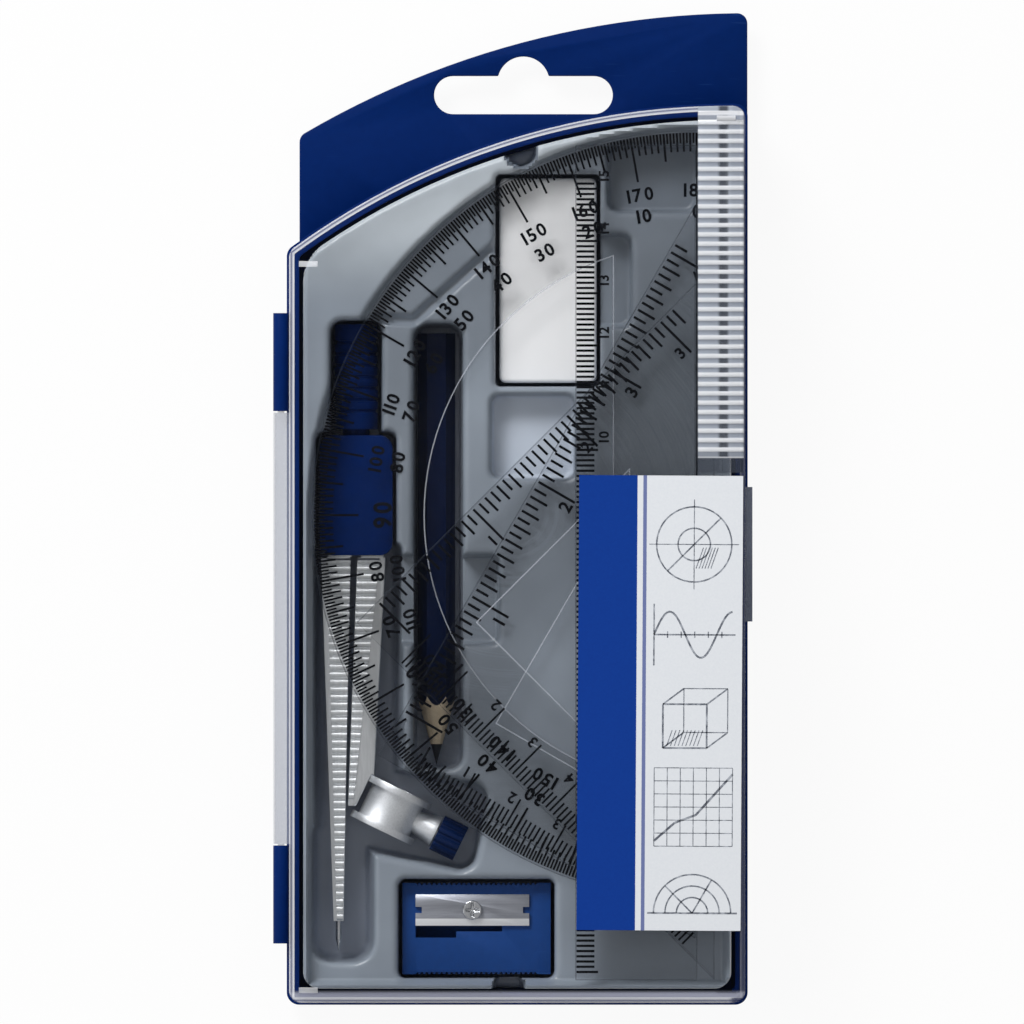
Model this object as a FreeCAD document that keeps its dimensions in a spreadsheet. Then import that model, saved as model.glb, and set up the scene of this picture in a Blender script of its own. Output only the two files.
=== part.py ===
import FreeCAD, Part
import os
import re

# A closed school geometry set. The case lies on its back: +X is right, +Y is up towards the hang tab,
# +Z is towards the clear lid. The origin is the middle of the back face. Sizes are in millimetres.

doc = FreeCAD.newDocument("instrument_case")

# Driving dimensions, one named value each.
SIZES = {
    # Clear plates, from the bottom of the stack to the top.
    "protractor_radius": 73.8,
    "protractor_base": 5.0,
    "protractor_sheet": 1.6,
    "protractor_window_radius": 52.1,
    "protractor_window_chord": 16.1,
    "square60_leg": 122.0,
    "square60_point": 30.0,
    "square60_band": 16.8,
    "square60_sheet": 1.6,
    "square60_side_room": 5.9,
    "square60_end_room": 8.6,
    "square45_leg": 97.0,
    "square45_point": 45.0,
    "square45_band": 16.4,
    "square45_sheet": 1.6,
    "square45_side_room": 2.3,
    "ruler_length": 160.0,
    "ruler_width": 23.4,
    "ruler_sheet": 1.6,
    "ruler_bevel": 7.0,
    "ruler_edge": 0.8,
    "ruler_side_room": 5.6,
    "plate_gap": 0.7,
    # Case walls and floor.
    "lid_inset": 0.5,
    "lid_wall": 0.9,
    "lid_roof": 1.6,
    "lid_room": 0.6,
    "lid_gap": 0.3,
    "lid_edge_radius": 0.4,
    "rim_lip_wall": 0.7,
    "rim_lip_gap": 0.3,
    "rim_lip_height": 1.2,
    "base_floor": 1.2,
    "parting_height": 12.0,
    "case_corner": 2.4,
    "cavity_corner": 1.6,
    "top_arc_radius": 142.4,
    "top_arc_offset": 3.45,
    # Side hinge and front latch.
    "hinge_radius": 1.5,
    "hinge_lift": 0.5,
    "hinge_reach": 1.1,
    "hinge_gap": 0.3,
    "hinge_offset": -14.2,
    "lid_knuckle_length": 83.0,
    "base_knuckle_length": 18.8,
    "hinge_pin_radius": 0.7,
    "hinge_pin_length": 3.0,
    "hinge_pin_fit": 0.05,
    "latch_width": 25.8,
    "latch_reach": 0.9,
    "latch_base_height": 3.0,
    "latch_lid_height": 2.6,
    # Raised grip ribs and corner feet on the outside of the lid.
    "grip_pitch": 1.79,
    "grip_width": 8.7,
    "grip_end_room": 3.2,
    "grip_rib_radius": 0.75,
    "grip_rib_height": 0.3,
    "foot_length": 3.6,
    "foot_width": 1.1,
    "foot_height": 0.3,
    "foot_room": 1.9,
    # Paper label on the lid.
    "label_width": 31.4,
    "label_length": 87.1,
    "label_sheet": 0.2,
    "label_side_room": 0.7,
    "label_end_room": 14.4,
    "label_grip_room": 3.6,
    "label_tilt": 0.35,
    # Sliding hang tab in the back of the base.
    "tab_sheet": 1.0,
    "tab_play": 0.2,
    "tab_side_gap": 0.3,
    "tab_travel": 17.5,
    "tab_overlap": 2.0,
    "tab_left_room": 2.4,
    "tab_corner": 2.0,
    "tab_arc_radius": 168.3,
    "tongue_width": 46.0,
    "tongue_length": 44.0,
    "tongue_lip": 3.0,
    "ear_reach": 3.0,
    "ear_length": 6.0,
    "back_lip": 0.8,
    "hang_slot_length": 34.3,
    "hang_slot_height": 7.3,
    "hang_slot_x": 1.2,
    "hang_slot_room": 3.7,
    "hang_hump_radius": 5.0,
    "hang_hump_lift": 2.4,
    # Moulded tray.
    "tray_sheet": 0.9,
    "tray_gap": 0.8,
    "tray_fit": 0.3,
    "tray_corner": 2.2,
    "tray_rim_height": 3.2,
    "pocket_gap": 0.8,
    "contents_gap": 0.3,
    "lift_notch_radius": 3.2,
    "lift_notch_top_x": 0.7,
    "lift_notch_bottom_x": -1.7,
    "finger_depth": 5.0,
    "cross_recess_length": 24.0,
    "cross_recess_width": 17.0,
    "eraser_scoop_reach": 6.0,
    "eraser_scoop_length": 17.8,
    "lower_recess_width": 16.0,
    "lower_recess_length": 16.0,
    "lower_recess_room": 1.6,
    "ruler_recess_width": 17.2,
    "ruler_recess_length": 12.8,
    # Compass.
    "compass_side_room": 2.2,
    "compass_tip_room": 6.1,
    "cover_length": 23.0,
    "cover_wall": 1.0,
    "cover_cheek": 1.4,
    "cover_corner": 2.5,
    "handle_radius": 4.2,
    "handle_length": 20.1,
    "handle_neck_radius": 2.6,
    "handle_neck_length": 1.2,
    "handle_groove": 0.35,
    "handle_groove_pitch": 2.2,
    "handle_groove_count": 7,
    "pivot_height": 11.5,
    "pivot_spacing": 6.2,
    "pivot_radius": 1.2,
    "pivot_fit": 0.05,
    "press_gap": 0.02,
    "leg_thickness": 4.6,
    "leg_eye_width": 4.4,
    "leg_side_gap": 0.3,
    "leg_eye_room": 0.7,
    "leg_top_width": 5.5,
    "leg_spread": 1.4,
    "leg_lean": 0.5,
    "needle_leg_length": 70.1,
    "needle_leg_tip_width": 1.9,
    "needle_leg_tip_shift": 1.2,
    "lead_leg_end_room": 0.7,
    "lead_leg_tip_width": 4.8,
    "lead_leg_tip_shift": 1.8,
    "needle_radius": 0.55,
    "needle_length": 5.9,
    "needle_point": 2.4,
    "clamp_tilt": 26.0,
    "clamp_bore_radius": 3.75,
    "clamp_wall": 1.65,
    "clamp_flange_rise": 1.2,
    "clamp_length": 8.8,
    "clamp_flange": 1.3,
    "clamp_height": 27.2,
    "clamp_seat_gap": 0.1,
    "boss_root_radius": 2.0,
    "boss_end_radius": 3.1,
    "boss_length": 3.0,
    "knob_radius": 3.6,
    "knob_length": 5.0,
    "knob_gap": 0.3,
    "knob_flute_count": 12,
    "knob_flute_radius": 0.45,
    "shank_radius": 1.0,
    "shank_fit": 0.05,
    "shank_seat": 3.4,
    "swing_room": 2.8,
    "needle_pocket_width": 12.6,
    # Pencil.
    "pencil_radius": 3.6,
    "pencil_length": 82.8,
    "pencil_cone": 12.8,
    "pencil_lead_radius": 1.1,
    "pencil_lead_show": 4.0,
    "pencil_side_room": 4.8,
    "pencil_end_room": 8.6,
    # Eraser.
    "eraser_width": 18.6,
    "eraser_length": 39.2,
    "eraser_thickness": 10.8,
    "eraser_corner": 1.2,
    "eraser_side_room": 8.5,
    "eraser_end_room": 3.0,
    # Sharpener.
    "sharpener_length": 28.4,
    "sharpener_width": 17.5,
    "sharpener_height": 10.6,
    "sharpener_side_room": 1.9,
    "sharpener_end_room": 1.8,
    "sharpener_mouth_radius": 4.0,
    "sharpener_point_radius": 0.8,
    "sharpener_bore_length": 23.0,
    "sharpener_wedge": 0.4,
    "shavings_run": 16.6,
    "shavings_step": 7.8,
    "shavings_deep": 2.3,
    "shavings_shallow": 1.1,
    "blade_length": 21.8,
    "blade_width": 6.0,
    "blade_sheet": 0.6,
    "blade_shift": 2.5,
    "blade_edge_room": 2.2,
    "blade_notch": 1.2,
    "blade_screw_radius": 1.85,
    "blade_screw_head": 0.9,
    "blade_screw_shank_radius": 1.0,
    "blade_screw_length": 3.4,
    "blade_screw_gap": 0.05,
    "blade_screw_slot": 0.5,
    "blade_screw_cross": 1.3,
    # How far a cutting solid reaches past the face that it opens.
    "cut_over": 1.0,
}

# Places and sizes that follow from the driving dimensions.
LAYOUT = {
    # Plan of the plate bay, the tray and the case.
    "edge_margin": "lid_inset + lid_wall + rim_lip_gap + rim_lip_wall + tray_gap + tray_sheet",
    "base_wall": "lid_inset + lid_wall + rim_lip_gap + rim_lip_wall",
    "tray_inset": "base_wall + tray_gap",
    "square45_reach": "square45_leg * sin(square45_point)",
    "square45_short": "square45_leg * tan(square45_point)",
    "square45_drop": "square45_short * sin(square45_point)",
    "square45_hypotenuse": "square45_leg / cos(square45_point)",
    "square45_inradius": "(square45_leg + square45_short - square45_hypotenuse) / 2",
    "square60_reach": "square60_leg * sin(square60_point)",
    "square60_short": "square60_leg * tan(square60_point)",
    "square60_drop": "square60_short * sin(square60_point)",
    "square60_hypotenuse": "square60_leg / cos(square60_point)",
    "square60_inradius": "(square60_leg + square60_short - square60_hypotenuse) / 2",
    "bay_width": "max(protractor_radius + protractor_base; square45_reach + square45_side_room; "
                 "square60_reach + square60_side_room) + 2 * plate_gap",
    "bay_right": "bay_width / 2",
    "bay_left": "-bay_width / 2",
    "half_width": "bay_width / 2 + edge_margin",
    "arc_x": "half_width - top_arc_offset",
    "inner_arc": "top_arc_radius - edge_margin",
    "ruler_right": "bay_right - ruler_side_room",
    "ruler_left": "ruler_right - ruler_width",
    "ruler_drop": "inner_arc - sqrt(inner_arc ^ 2 - (arc_x - ruler_left) ^ 2)",
    "bay_length": "max(ruler_length + ruler_drop; 2 * protractor_radius + plate_gap; square45_hypotenuse; "
                  "square60_hypotenuse + square60_end_room) + 2 * plate_gap",
    "bay_bottom": "-bay_length / 2",
    "half_length": "bay_length / 2 + edge_margin",
    "arc_y": "half_length - top_arc_radius",
    # Heights, from the back face up.
    "tab_bottom": "back_lip + tab_play",
    "channel_top": "back_lip + tab_sheet + 2 * tab_play",
    "floor_top": "channel_top + base_floor",
    "pocket_floor": "floor_top + tray_sheet",
    "clamp_waist_radius": "clamp_bore_radius + clamp_wall",
    "clamp_radius": "clamp_waist_radius + clamp_flange_rise",
    "compass_z": "pocket_floor + contents_gap + clamp_radius",
    "cover_thickness": "leg_thickness + 2 * (leg_side_gap + cover_cheek)",
    "cover_bottom_z": "compass_z - cover_thickness / 2",
    "handle_floor": "compass_z - handle_radius - contents_gap",
    "plate_floor": "max(compass_z + max(cover_thickness / 2; handle_radius; knob_radius; clamp_radius); "
                   "pocket_floor + max(eraser_thickness; 2 * pencil_radius)) + contents_gap",
    "finger_floor": "plate_floor - finger_depth",
    "square60_z": "plate_floor + protractor_sheet",
    "square45_z": "square60_z + square60_sheet",
    "ruler_z": "square45_z + square45_sheet",
    "stack_top": "ruler_z + ruler_sheet",
    "rim_top": "plate_floor + tray_rim_height",
    "lid_bottom": "parting_height + lid_gap",
    "lid_inside": "max(stack_top; rim_top; sharpener_top) + lid_room",
    "case_depth": "lid_inside + lid_roof",
    # Plates.
    "protractor_x": "bay_right - plate_gap - protractor_base",
    "protractor_y": "arc_y + sqrt((inner_arc - plate_gap - protractor_radius) ^ 2 "
                    "- (arc_x - protractor_x) ^ 2)",
    "square45_x": "bay_right - square45_side_room - square45_reach",
    "square45_y": "bay_bottom + plate_gap + square45_drop",
    "square60_x": "bay_right - square60_side_room - square60_reach",
    "square60_y": "bay_bottom + square60_end_room + square60_drop",
    "ruler_bottom": "bay_bottom + plate_gap",
    # Hinge and latch.
    "hinge_x": "-half_width - hinge_reach",
    "hinge_z": "parting_height + hinge_lift",
    "hinge_relief": "hinge_radius + hinge_gap",
    "lid_knuckle_low": "hinge_offset - lid_knuckle_length / 2 + hinge_gap / 2",
    "lid_knuckle_high": "hinge_offset + lid_knuckle_length / 2 - hinge_gap / 2",
    "lower_knuckle_high": "lid_knuckle_low - hinge_gap",
    "lower_knuckle_low": "lower_knuckle_high - base_knuckle_length",
    "upper_knuckle_low": "lid_knuckle_high + hinge_gap",
    "upper_knuckle_high": "upper_knuckle_low + base_knuckle_length",
    # Lid face.
    "lid_half_width": "half_width - lid_inset",
    "grip_right": "lid_half_width - lid_edge_radius",
    "grip_left": "grip_right - grip_width",
    "grip_top": "half_length - lid_inset - grip_end_room",
    "grip_rib_z": "case_depth + grip_rib_height - grip_rib_radius",
    "foot_right": "lid_half_width - foot_room",
    "foot_low": "-half_length + lid_inset + foot_room",
    "foot_left_high": "arc_y + sqrt((top_arc_radius - lid_inset) ^ 2 - (arc_x + lid_half_width) ^ 2) "
                      "- foot_room",
    "foot_right_high": "half_length - lid_inset - foot_room",
    "label_x": "lid_half_width - label_side_room - label_width / 2",
    "label_y": "-half_length + label_end_room + label_length / 2",
    "grip_count": "floor((grip_top - label_y - label_length / 2 - label_grip_room) / grip_pitch) + 1",
    # Hang tab.
    "tab_left": "-half_width + tab_left_room",
    "tab_arc_y": "half_length + tab_travel - tab_arc_radius",
    "tab_low_arc_y": "arc_y - tab_overlap",
    "band_arc_y": "arc_y - tab_overlap - tab_travel - tab_side_gap",
    "case_top_middle": "arc_y + sqrt(top_arc_radius ^ 2 - arc_x ^ 2)",
    "tongue_end": "case_top_middle - tongue_length",
    "ear_high": "tongue_end + ear_length",
    "channel_end": "tongue_end - tab_travel - tab_side_gap",
    "slot_y": "arc_y + sqrt(top_arc_radius ^ 2 - (arc_x - hang_slot_x) ^ 2) + hang_slot_room "
              "+ hang_slot_height / 2",
    "slot_end_radius": "hang_slot_height / 2",
    # Compass.
    "cover_width": "pivot_spacing + leg_eye_width + 2 * (leg_eye_room + cover_wall)",
    "compass_x": "bay_left + compass_side_room + cover_width / 2",
    "needle_leg_end": "bay_bottom + compass_tip_room + needle_length",
    "cover_low": "needle_leg_end + needle_leg_length",
    "cover_high": "cover_low + cover_length",
    "handle_low": "cover_high + handle_neck_length",
    "handle_high": "handle_low + handle_length",
    "pivot_y": "cover_low + pivot_height",
    "needle_pivot_x": "compass_x - pivot_spacing / 2",
    "lead_pivot_x": "compass_x + pivot_spacing / 2",
    "slot_half": "leg_thickness / 2 + leg_side_gap",
    "clamp_x": "compass_x - leg_lean - leg_spread / 2 + clamp_radius * cos(clamp_tilt) "
               "+ clamp_length / 2 * sin(clamp_tilt)",
    "clamp_y": "needle_leg_end - needle_length + clamp_height",
    "lead_leg_length": "cover_low - clamp_y - lead_leg_end_room",
    "pin_half": "slot_half + cover_cheek / 2",
    "boss_end": "clamp_radius + boss_length",
    "knob_start": "boss_end + knob_gap",
    "knob_end": "knob_start + knob_length",
    "knob_right": "clamp_x + knob_end * cos(clamp_tilt) + knob_radius * sin(clamp_tilt)",
    "knob_low": "clamp_y - knob_end * sin(clamp_tilt) - knob_radius * cos(clamp_tilt)",
    "clamp_high": "clamp_y + clamp_radius * sin(clamp_tilt) + clamp_length / 2 * cos(clamp_tilt)",
    # Pencil, eraser and sharpener.
    "pencil_x": "compass_x + cover_width / 2 + pencil_side_room + pencil_radius",
    "pencil_tip": "clamp_y + pencil_end_room",
    "pencil_high": "pencil_tip + pencil_length",
    "pencil_flat": "pencil_radius * sqrt(3) / 2",
    "pencil_z": "pocket_floor + pencil_flat",
    "eraser_left": "pencil_x + pencil_radius + eraser_side_room",
    "eraser_right": "eraser_left + eraser_width",
    "eraser_high": "arc_y + sqrt(inner_arc ^ 2 - (arc_x - eraser_left) ^ 2) - eraser_end_room",
    "eraser_low": "eraser_high - eraser_length",
    "sharpener_left": "compass_x + cover_width / 2 + sharpener_side_room",
    "sharpener_right": "sharpener_left + sharpener_length",
    "sharpener_low": "bay_bottom + sharpener_end_room",
    "sharpener_high": "sharpener_low + sharpener_width",
    "sharpener_seat": "pocket_floor + sharpener_height",
    "sharpener_top": "sharpener_seat + blade_sheet + blade_screw_head",
    "bore_y": "blade_low",
    "bore_z": "sharpener_seat - sharpener_mouth_radius",
    "blade_left": "sharpener_left + blade_shift",
    "blade_high": "sharpener_high - blade_edge_room",
    "blade_low": "blade_high - blade_width",
    "screw_x": "blade_left + blade_length / 2",
    "screw_y": "blade_low + blade_width / 2",
}


def named_sheet(name, cells):
    """Write named cells to a sheet, one row each."""
    sheet = doc.addObject("Spreadsheet::Sheet", name)
    for row, (alias, content) in enumerate(cells.items(), 1):
        sheet.set(f"A{row}", alias)
        sheet.set(f"B{row}", content)
        sheet.setAlias(f"B{row}", alias)
    return sheet


def formula(text):
    """Point each name in a formula at its cell."""
    def cell(match):
        word = match.group()
        if word in SIZES:
            return f"<<sizes>>.{word}"
        if word in LAYOUT:
            return f"<<layout>>.{word}"
        return word
    return re.sub(r"[a-z_][a-z_0-9]*", cell, text)


sizes = named_sheet("sizes", {name: str(size) for name, size in SIZES.items()})
layout = named_sheet("layout", {name: "=" + formula(text) for name, text in LAYOUT.items()})
doc.recompute()


def value(name):
    """Read one named value from its sheet."""
    sheet = sizes if name in SIZES else layout
    return float(getattr(sheet, name))


# Building blocks. Each bound is a formula in the named values.

ALONG_X = FreeCAD.Rotation(FreeCAD.Vector(0, 1, 0), 90)
ALONG_Y = FreeCAD.Rotation(FreeCAD.Vector(1, 0, 0), -90)
ALONG_Z = FreeCAD.Rotation()
UPSIDE_DOWN = FreeCAD.Rotation(FreeCAD.Vector(1, 0, 0), 180)
TOLERANCE = 1e-4


def along_clamp_screw():
    """Turn that lays a solid's axis along the clamp's screw."""
    return FreeCAD.Rotation(FreeCAD.Vector(0, 0, 1), -value("clamp_tilt")).multiply(ALONG_X)


def along_clamp_bore():
    """Turn that lays a solid's axis along the clamp's bore."""
    return FreeCAD.Rotation(FreeCAD.Vector(0, 0, 1), -value("clamp_tilt")).multiply(ALONG_Y)


def bind(solid, **bounds):
    """Tie properties of a solid to formulas."""
    for prop, text in bounds.items():
        solid.setExpression(prop, formula(text))


def place(solid, x, y, z, turn=ALONG_Z):
    """Turn a solid and tie its base point to formulas."""
    solid.Placement = FreeCAD.Placement(FreeCAD.Vector(), turn)
    for axis, text in zip("xyz", (x, y, z)):
        solid.setExpression(f"Placement.Base.{axis}", formula(text))


def box(name, x, y, z):
    """Block between pairs of bounds."""
    solid = doc.addObject("Part::Box", name)
    for prop, (start, end) in zip(("Length", "Width", "Height"), (x, y, z)):
        bind(solid, **{prop: f"({end}) - ({start})"})
    place(solid, x[0], y[0], z[0])
    return solid


def cylinder(name, radius, length, base, turn=ALONG_Z):
    """Round bar from a base point along its turned axis."""
    solid = doc.addObject("Part::Cylinder", name)
    bind(solid, Radius=radius, Height=length)
    place(solid, *base, turn)
    return solid


def cone(name, radius, end_radius, length, base, turn=ALONG_Z):
    """Tapered bar from a base point along its turned axis."""
    solid = doc.addObject("Part::Cone", name)
    bind(solid, Radius1=radius, Radius2=end_radius, Height=length)
    place(solid, *base, turn)
    return solid


def taper(name, x, length, z, end_x, end_z, base, turn=ALONG_Z):
    """Bar whose section changes from one pair of bounds to another along its own Y."""
    solid = doc.addObject("Part::Wedge", name)
    bind(solid, Xmin=x[0], Xmax=x[1], X2min=end_x[0], X2max=end_x[1], Ymin="0", Ymax=length,
         Zmin=z[0], Zmax=z[1], Z2min=end_z[0], Z2max=end_z[1])
    place(solid, *base, turn)
    return solid


def fuse(name, *solids):
    """Join solids into one."""
    joined = doc.addObject("Part::MultiFuse", name)
    joined.Shapes = list(solids)
    return joined


def cut(name, solid, *tools):
    """Take tools away from a solid."""
    result = doc.addObject("Part::Cut", name)
    result.Base = solid
    result.Tool = tools[0] if len(tools) == 1 else fuse(name + "_tools", *tools)
    return result


def common(name, first, second):
    """Keep what two solids share."""
    result = doc.addObject("Part::Common", name)
    result.Base = first
    result.Tool = second
    return result


def rounded(name, solid, radius, chosen):
    """Round the edges that a test picks."""
    doc.recompute()
    result = doc.addObject("Part::Fillet", name)
    result.Base = solid
    size = value(radius)
    edges = enumerate(solid.Shape.Edges, 1)
    result.Edges = [(index, size, size) for index, edge in edges if chosen(edge)]
    return result


def is_upright(edge):
    """True for a straight edge along Z."""
    is_straight = edge.Curve.TypeId == "Part::GeomLine"
    return is_straight and edge.BoundBox.DiagonalLength - edge.BoundBox.ZLength < TOLERANCE


def is_at_height(name):
    """Test for edges that lie level at a named height."""
    level = value(name)

    def lies_there(edge):
        bounds = edge.BoundBox
        return abs(bounds.ZMin - level) < TOLERANCE and abs(bounds.ZMax - level) < TOLERANCE
    return lies_there


def case_outline(name, inset, corner, z):
    """Case plan, drawn in by an inset: straight sides and bottom under an arched top."""
    plan = box(name + "_plan", (f"-half_width + ({inset})", f"half_width - ({inset})"),
               (f"-half_length + ({inset})", "half_length"), z)
    arch = cylinder(name + "_arch", f"top_arc_radius - ({inset})", f"({z[1]}) - ({z[0]})",
                    ("arc_x", "arc_y", z[0]))
    return rounded(name, common(name + "_sharp", plan, arch), corner, is_upright)


def node(label, solid):
    """Give a finished sub-part the name of its file."""
    solid.Label = label
    nodes.append(solid)


nodes = []


# Base shell with its rim lip, hinge knuckles, latch ledge and the channel for the hang tab.

def hinge_barrel(name, radius, low, high):
    """Bar along the hinge axis between two bounds."""
    return cylinder(name, radius, f"({high}) - ({low})", ("hinge_x", low, "hinge_z"), ALONG_Y)


def base_knuckle(name, low, high):
    """Knuckle of the base, joined to the wall below the parting line."""
    barrel = hinge_barrel(name + "_barrel", "hinge_radius", low, high)
    web = box(name + "_web", ("hinge_x", "-half_width + lid_inset"), (low, high),
              ("hinge_z - hinge_radius", "parting_height"))
    return fuse(name, barrel, web)


def tab_channel():
    """Cuts in the back that the hang tab slides in."""
    back = ("-cut_over", "channel_top")
    band_plan = box("band_plan", ("-half_width - cut_over", "half_width + cut_over"),
                    ("band_arc_y", "half_length + cut_over"), back)
    band_limit = cylinder("band_limit", "top_arc_radius", "channel_top + 3 * cut_over",
                          ("arc_x", "band_arc_y", "-2 * cut_over"))
    band = cut("band", band_plan, band_limit)
    slot_half = "tongue_width / 2 + tab_side_gap"
    tongue_slot = box("tongue_slot", (f"-({slot_half})", slot_half), ("channel_end", "case_top_middle"),
                      ("back_lip", "channel_top"))
    ear_half = "tongue_width / 2 + ear_reach + tab_side_gap"
    ear_slot = box("ear_slot", (f"-({ear_half})", ear_half), ("channel_end", "ear_high + tab_side_gap"),
                   ("back_lip", "channel_top"))
    window_half = "tongue_width / 2 - tongue_lip"
    window = box("back_window", (f"-({window_half})", window_half), ("channel_end", "case_top_middle"),
                 ("-cut_over", "back_lip + cut_over / 2"))
    return band, tongue_slot, ear_slot, window


def base_shell():
    shell = case_outline("base_body", "0", "case_corner", ("0", "parting_height"))
    lip = case_outline("base_lip", "base_wall - rim_lip_wall", "cavity_corner",
                       ("floor_top", "parting_height + rim_lip_height"))
    cavity = case_outline("base_cavity", "base_wall", "cavity_corner",
                          ("floor_top", "parting_height + rim_lip_height + cut_over"))
    lid_relief = hinge_barrel("base_hinge_relief", "hinge_relief", "lid_knuckle_low - hinge_gap",
                              "lid_knuckle_high + hinge_gap")
    ledge = box("latch_ledge", ("half_width - base_wall", "half_width + latch_reach"),
                ("-latch_width / 2", "latch_width / 2"),
                ("parting_height - latch_base_height", "parting_height"))
    lower = base_knuckle("lower_knuckle", "lower_knuckle_low", "lower_knuckle_high")
    upper = base_knuckle("upper_knuckle", "upper_knuckle_low", "upper_knuckle_high")
    bores = [
        hinge_barrel("lower_bore", "hinge_pin_radius + hinge_pin_fit",
                     "lower_knuckle_high - hinge_pin_length", "lower_knuckle_high + hinge_gap / 2"),
        hinge_barrel("upper_bore", "hinge_pin_radius + hinge_pin_fit",
                     "upper_knuckle_low - hinge_gap / 2", "upper_knuckle_low + hinge_pin_length"),
    ]
    walls = cut("base_walls", fuse("base_block", shell, lip, ledge), cavity, lid_relief)
    node("base_shell", cut("base_cut", fuse("base_hinged", walls, lower, upper), *bores, *tab_channel()))


# Clear lid with its hinge knuckle, stub pins, thumb tab, grip ribs and corner feet.

def grip_ribs():
    """Row of low rounded ribs along the right edge of the lid."""
    ribs = []
    for index in range(int(value("grip_count"))):
        ribs.append(cylinder(f"grip_rib_{index}", "grip_rib_radius", "grip_width",
                             ("grip_left", f"grip_top - {index} * grip_pitch", "grip_rib_z"), ALONG_X))
    return ribs


def corner_foot(name, x, y):
    """Low foot that keeps stacked cases apart, named by its left and lower bounds."""
    return box(name, (x, f"({x}) + foot_length"), (y, f"({y}) + foot_width"),
               ("lid_inside", "case_depth + foot_height"))


def lid_shell():
    block = case_outline("lid_block", "lid_inset", "case_corner", ("lid_bottom", "case_depth"))
    skin = rounded("lid_skin", block, "lid_edge_radius", is_at_height("case_depth"))
    cavity = case_outline("lid_cavity", "lid_inset + lid_wall", "cavity_corner",
                          ("lid_bottom - cut_over", "lid_inside"))
    reliefs = [
        hinge_barrel("lid_lower_relief", "hinge_relief", "lower_knuckle_low - hinge_gap",
                     "lower_knuckle_high + hinge_gap"),
        hinge_barrel("lid_upper_relief", "hinge_relief", "upper_knuckle_low - hinge_gap",
                     "upper_knuckle_high + hinge_gap"),
    ]
    shell = cut("lid_hollow", skin, cavity, *reliefs)
    barrel = hinge_barrel("lid_barrel", "hinge_radius", "lid_knuckle_low", "lid_knuckle_high")
    web = box("lid_web", ("hinge_x", "-half_width + lid_inset + lid_wall"),
              ("lid_knuckle_low", "lid_knuckle_high"), ("lid_bottom", "hinge_z + hinge_radius"))
    pins = hinge_barrel("lid_pins", "hinge_pin_radius", "lower_knuckle_high - hinge_pin_length + hinge_gap",
                        "upper_knuckle_low + hinge_pin_length - hinge_gap")
    thumb = box("lid_thumb", ("half_width - lid_inset - lid_wall", "half_width + latch_reach"),
                ("-latch_width / 2", "latch_width / 2"), ("lid_bottom", "lid_bottom + latch_lid_height"))
    feet = [
        corner_foot("foot_low_right", "foot_right - foot_length", "foot_low"),
        corner_foot("foot_low_left", "-foot_right", "foot_low"),
        corner_foot("foot_high_left", "-foot_right", "foot_left_high - foot_width"),
        corner_foot("foot_high_right", "foot_right - foot_length", "foot_right_high - foot_width"),
    ]
    node("lid_shell", fuse("lid_joined", shell, barrel, web, pins, thumb, *feet, *grip_ribs()))


def front_label():
    label = doc.addObject("Part::Box", "label_paper")
    bind(label, Length="label_width", Width="label_length", Height="label_sheet")
    tilt = FreeCAD.Rotation(FreeCAD.Vector(0, 0, 1), -value("label_tilt"))
    place(label,
          "label_x - label_width / 2 * cos(label_tilt) - label_length / 2 * sin(label_tilt)",
          "label_y + label_width / 2 * sin(label_tilt) - label_length / 2 * cos(label_tilt)",
          "case_depth", tilt)
    node("front_label", label)


# Hang tab: an arched head with a hanging slot, on a tongue whose ears stop it at both ends.

def hang_tab():
    level = ("tab_bottom", "tab_bottom + tab_sheet")
    plan = box("tab_plan", ("tab_left", "half_width"), ("tab_low_arc_y", "half_length + tab_travel"), level)
    arch = cylinder("tab_arch", "tab_arc_radius", "tab_sheet", ("half_width", "tab_arc_y", "tab_bottom"))
    sharp = common("tab_sharp", plan, arch)
    low_arch = cylinder("tab_low_arch", "top_arc_radius", "tab_sheet + 2 * cut_over",
                        ("arc_x", "tab_low_arc_y", "tab_bottom - cut_over"))
    head = cut("tab_head", rounded("tab_rounded", sharp, "tab_corner", is_upright), low_arch)
    tongue = box("tab_tongue", ("-tongue_width / 2", "tongue_width / 2"),
                 ("tongue_end", "case_top_middle"), level)
    ears = box("tab_ears", ("-tongue_width / 2 - ear_reach", "tongue_width / 2 + ear_reach"),
               ("tongue_end", "ear_high"), level)
    through = ("tab_bottom - cut_over", "tab_bottom + tab_sheet + cut_over")
    half_run = "(hang_slot_length / 2 - slot_end_radius)"
    slot = box("slot_run", (f"hang_slot_x - {half_run}", f"hang_slot_x + {half_run}"),
               ("slot_y - slot_end_radius", "slot_y + slot_end_radius"), through)
    ends = [
        cylinder(f"slot_end_{side}", "slot_end_radius", "tab_sheet + 2 * cut_over",
                 (f"hang_slot_x + {sign} * {half_run}", "slot_y", through[0]))
        for side, sign in (("left", -1), ("right", 1))
    ]
    hump = cylinder("slot_hump", "hang_hump_radius", "tab_sheet + 2 * cut_over",
                    ("hang_slot_x", "slot_y + hang_hump_lift", through[0]))
    node("hang_tab", cut("tab_cut", fuse("tab_joined", head, tongue, ears), slot, *ends, hump))


# Thin moulded tray: a rim round the plate bay, a floor under the plates and a cup for each instrument.

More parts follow.
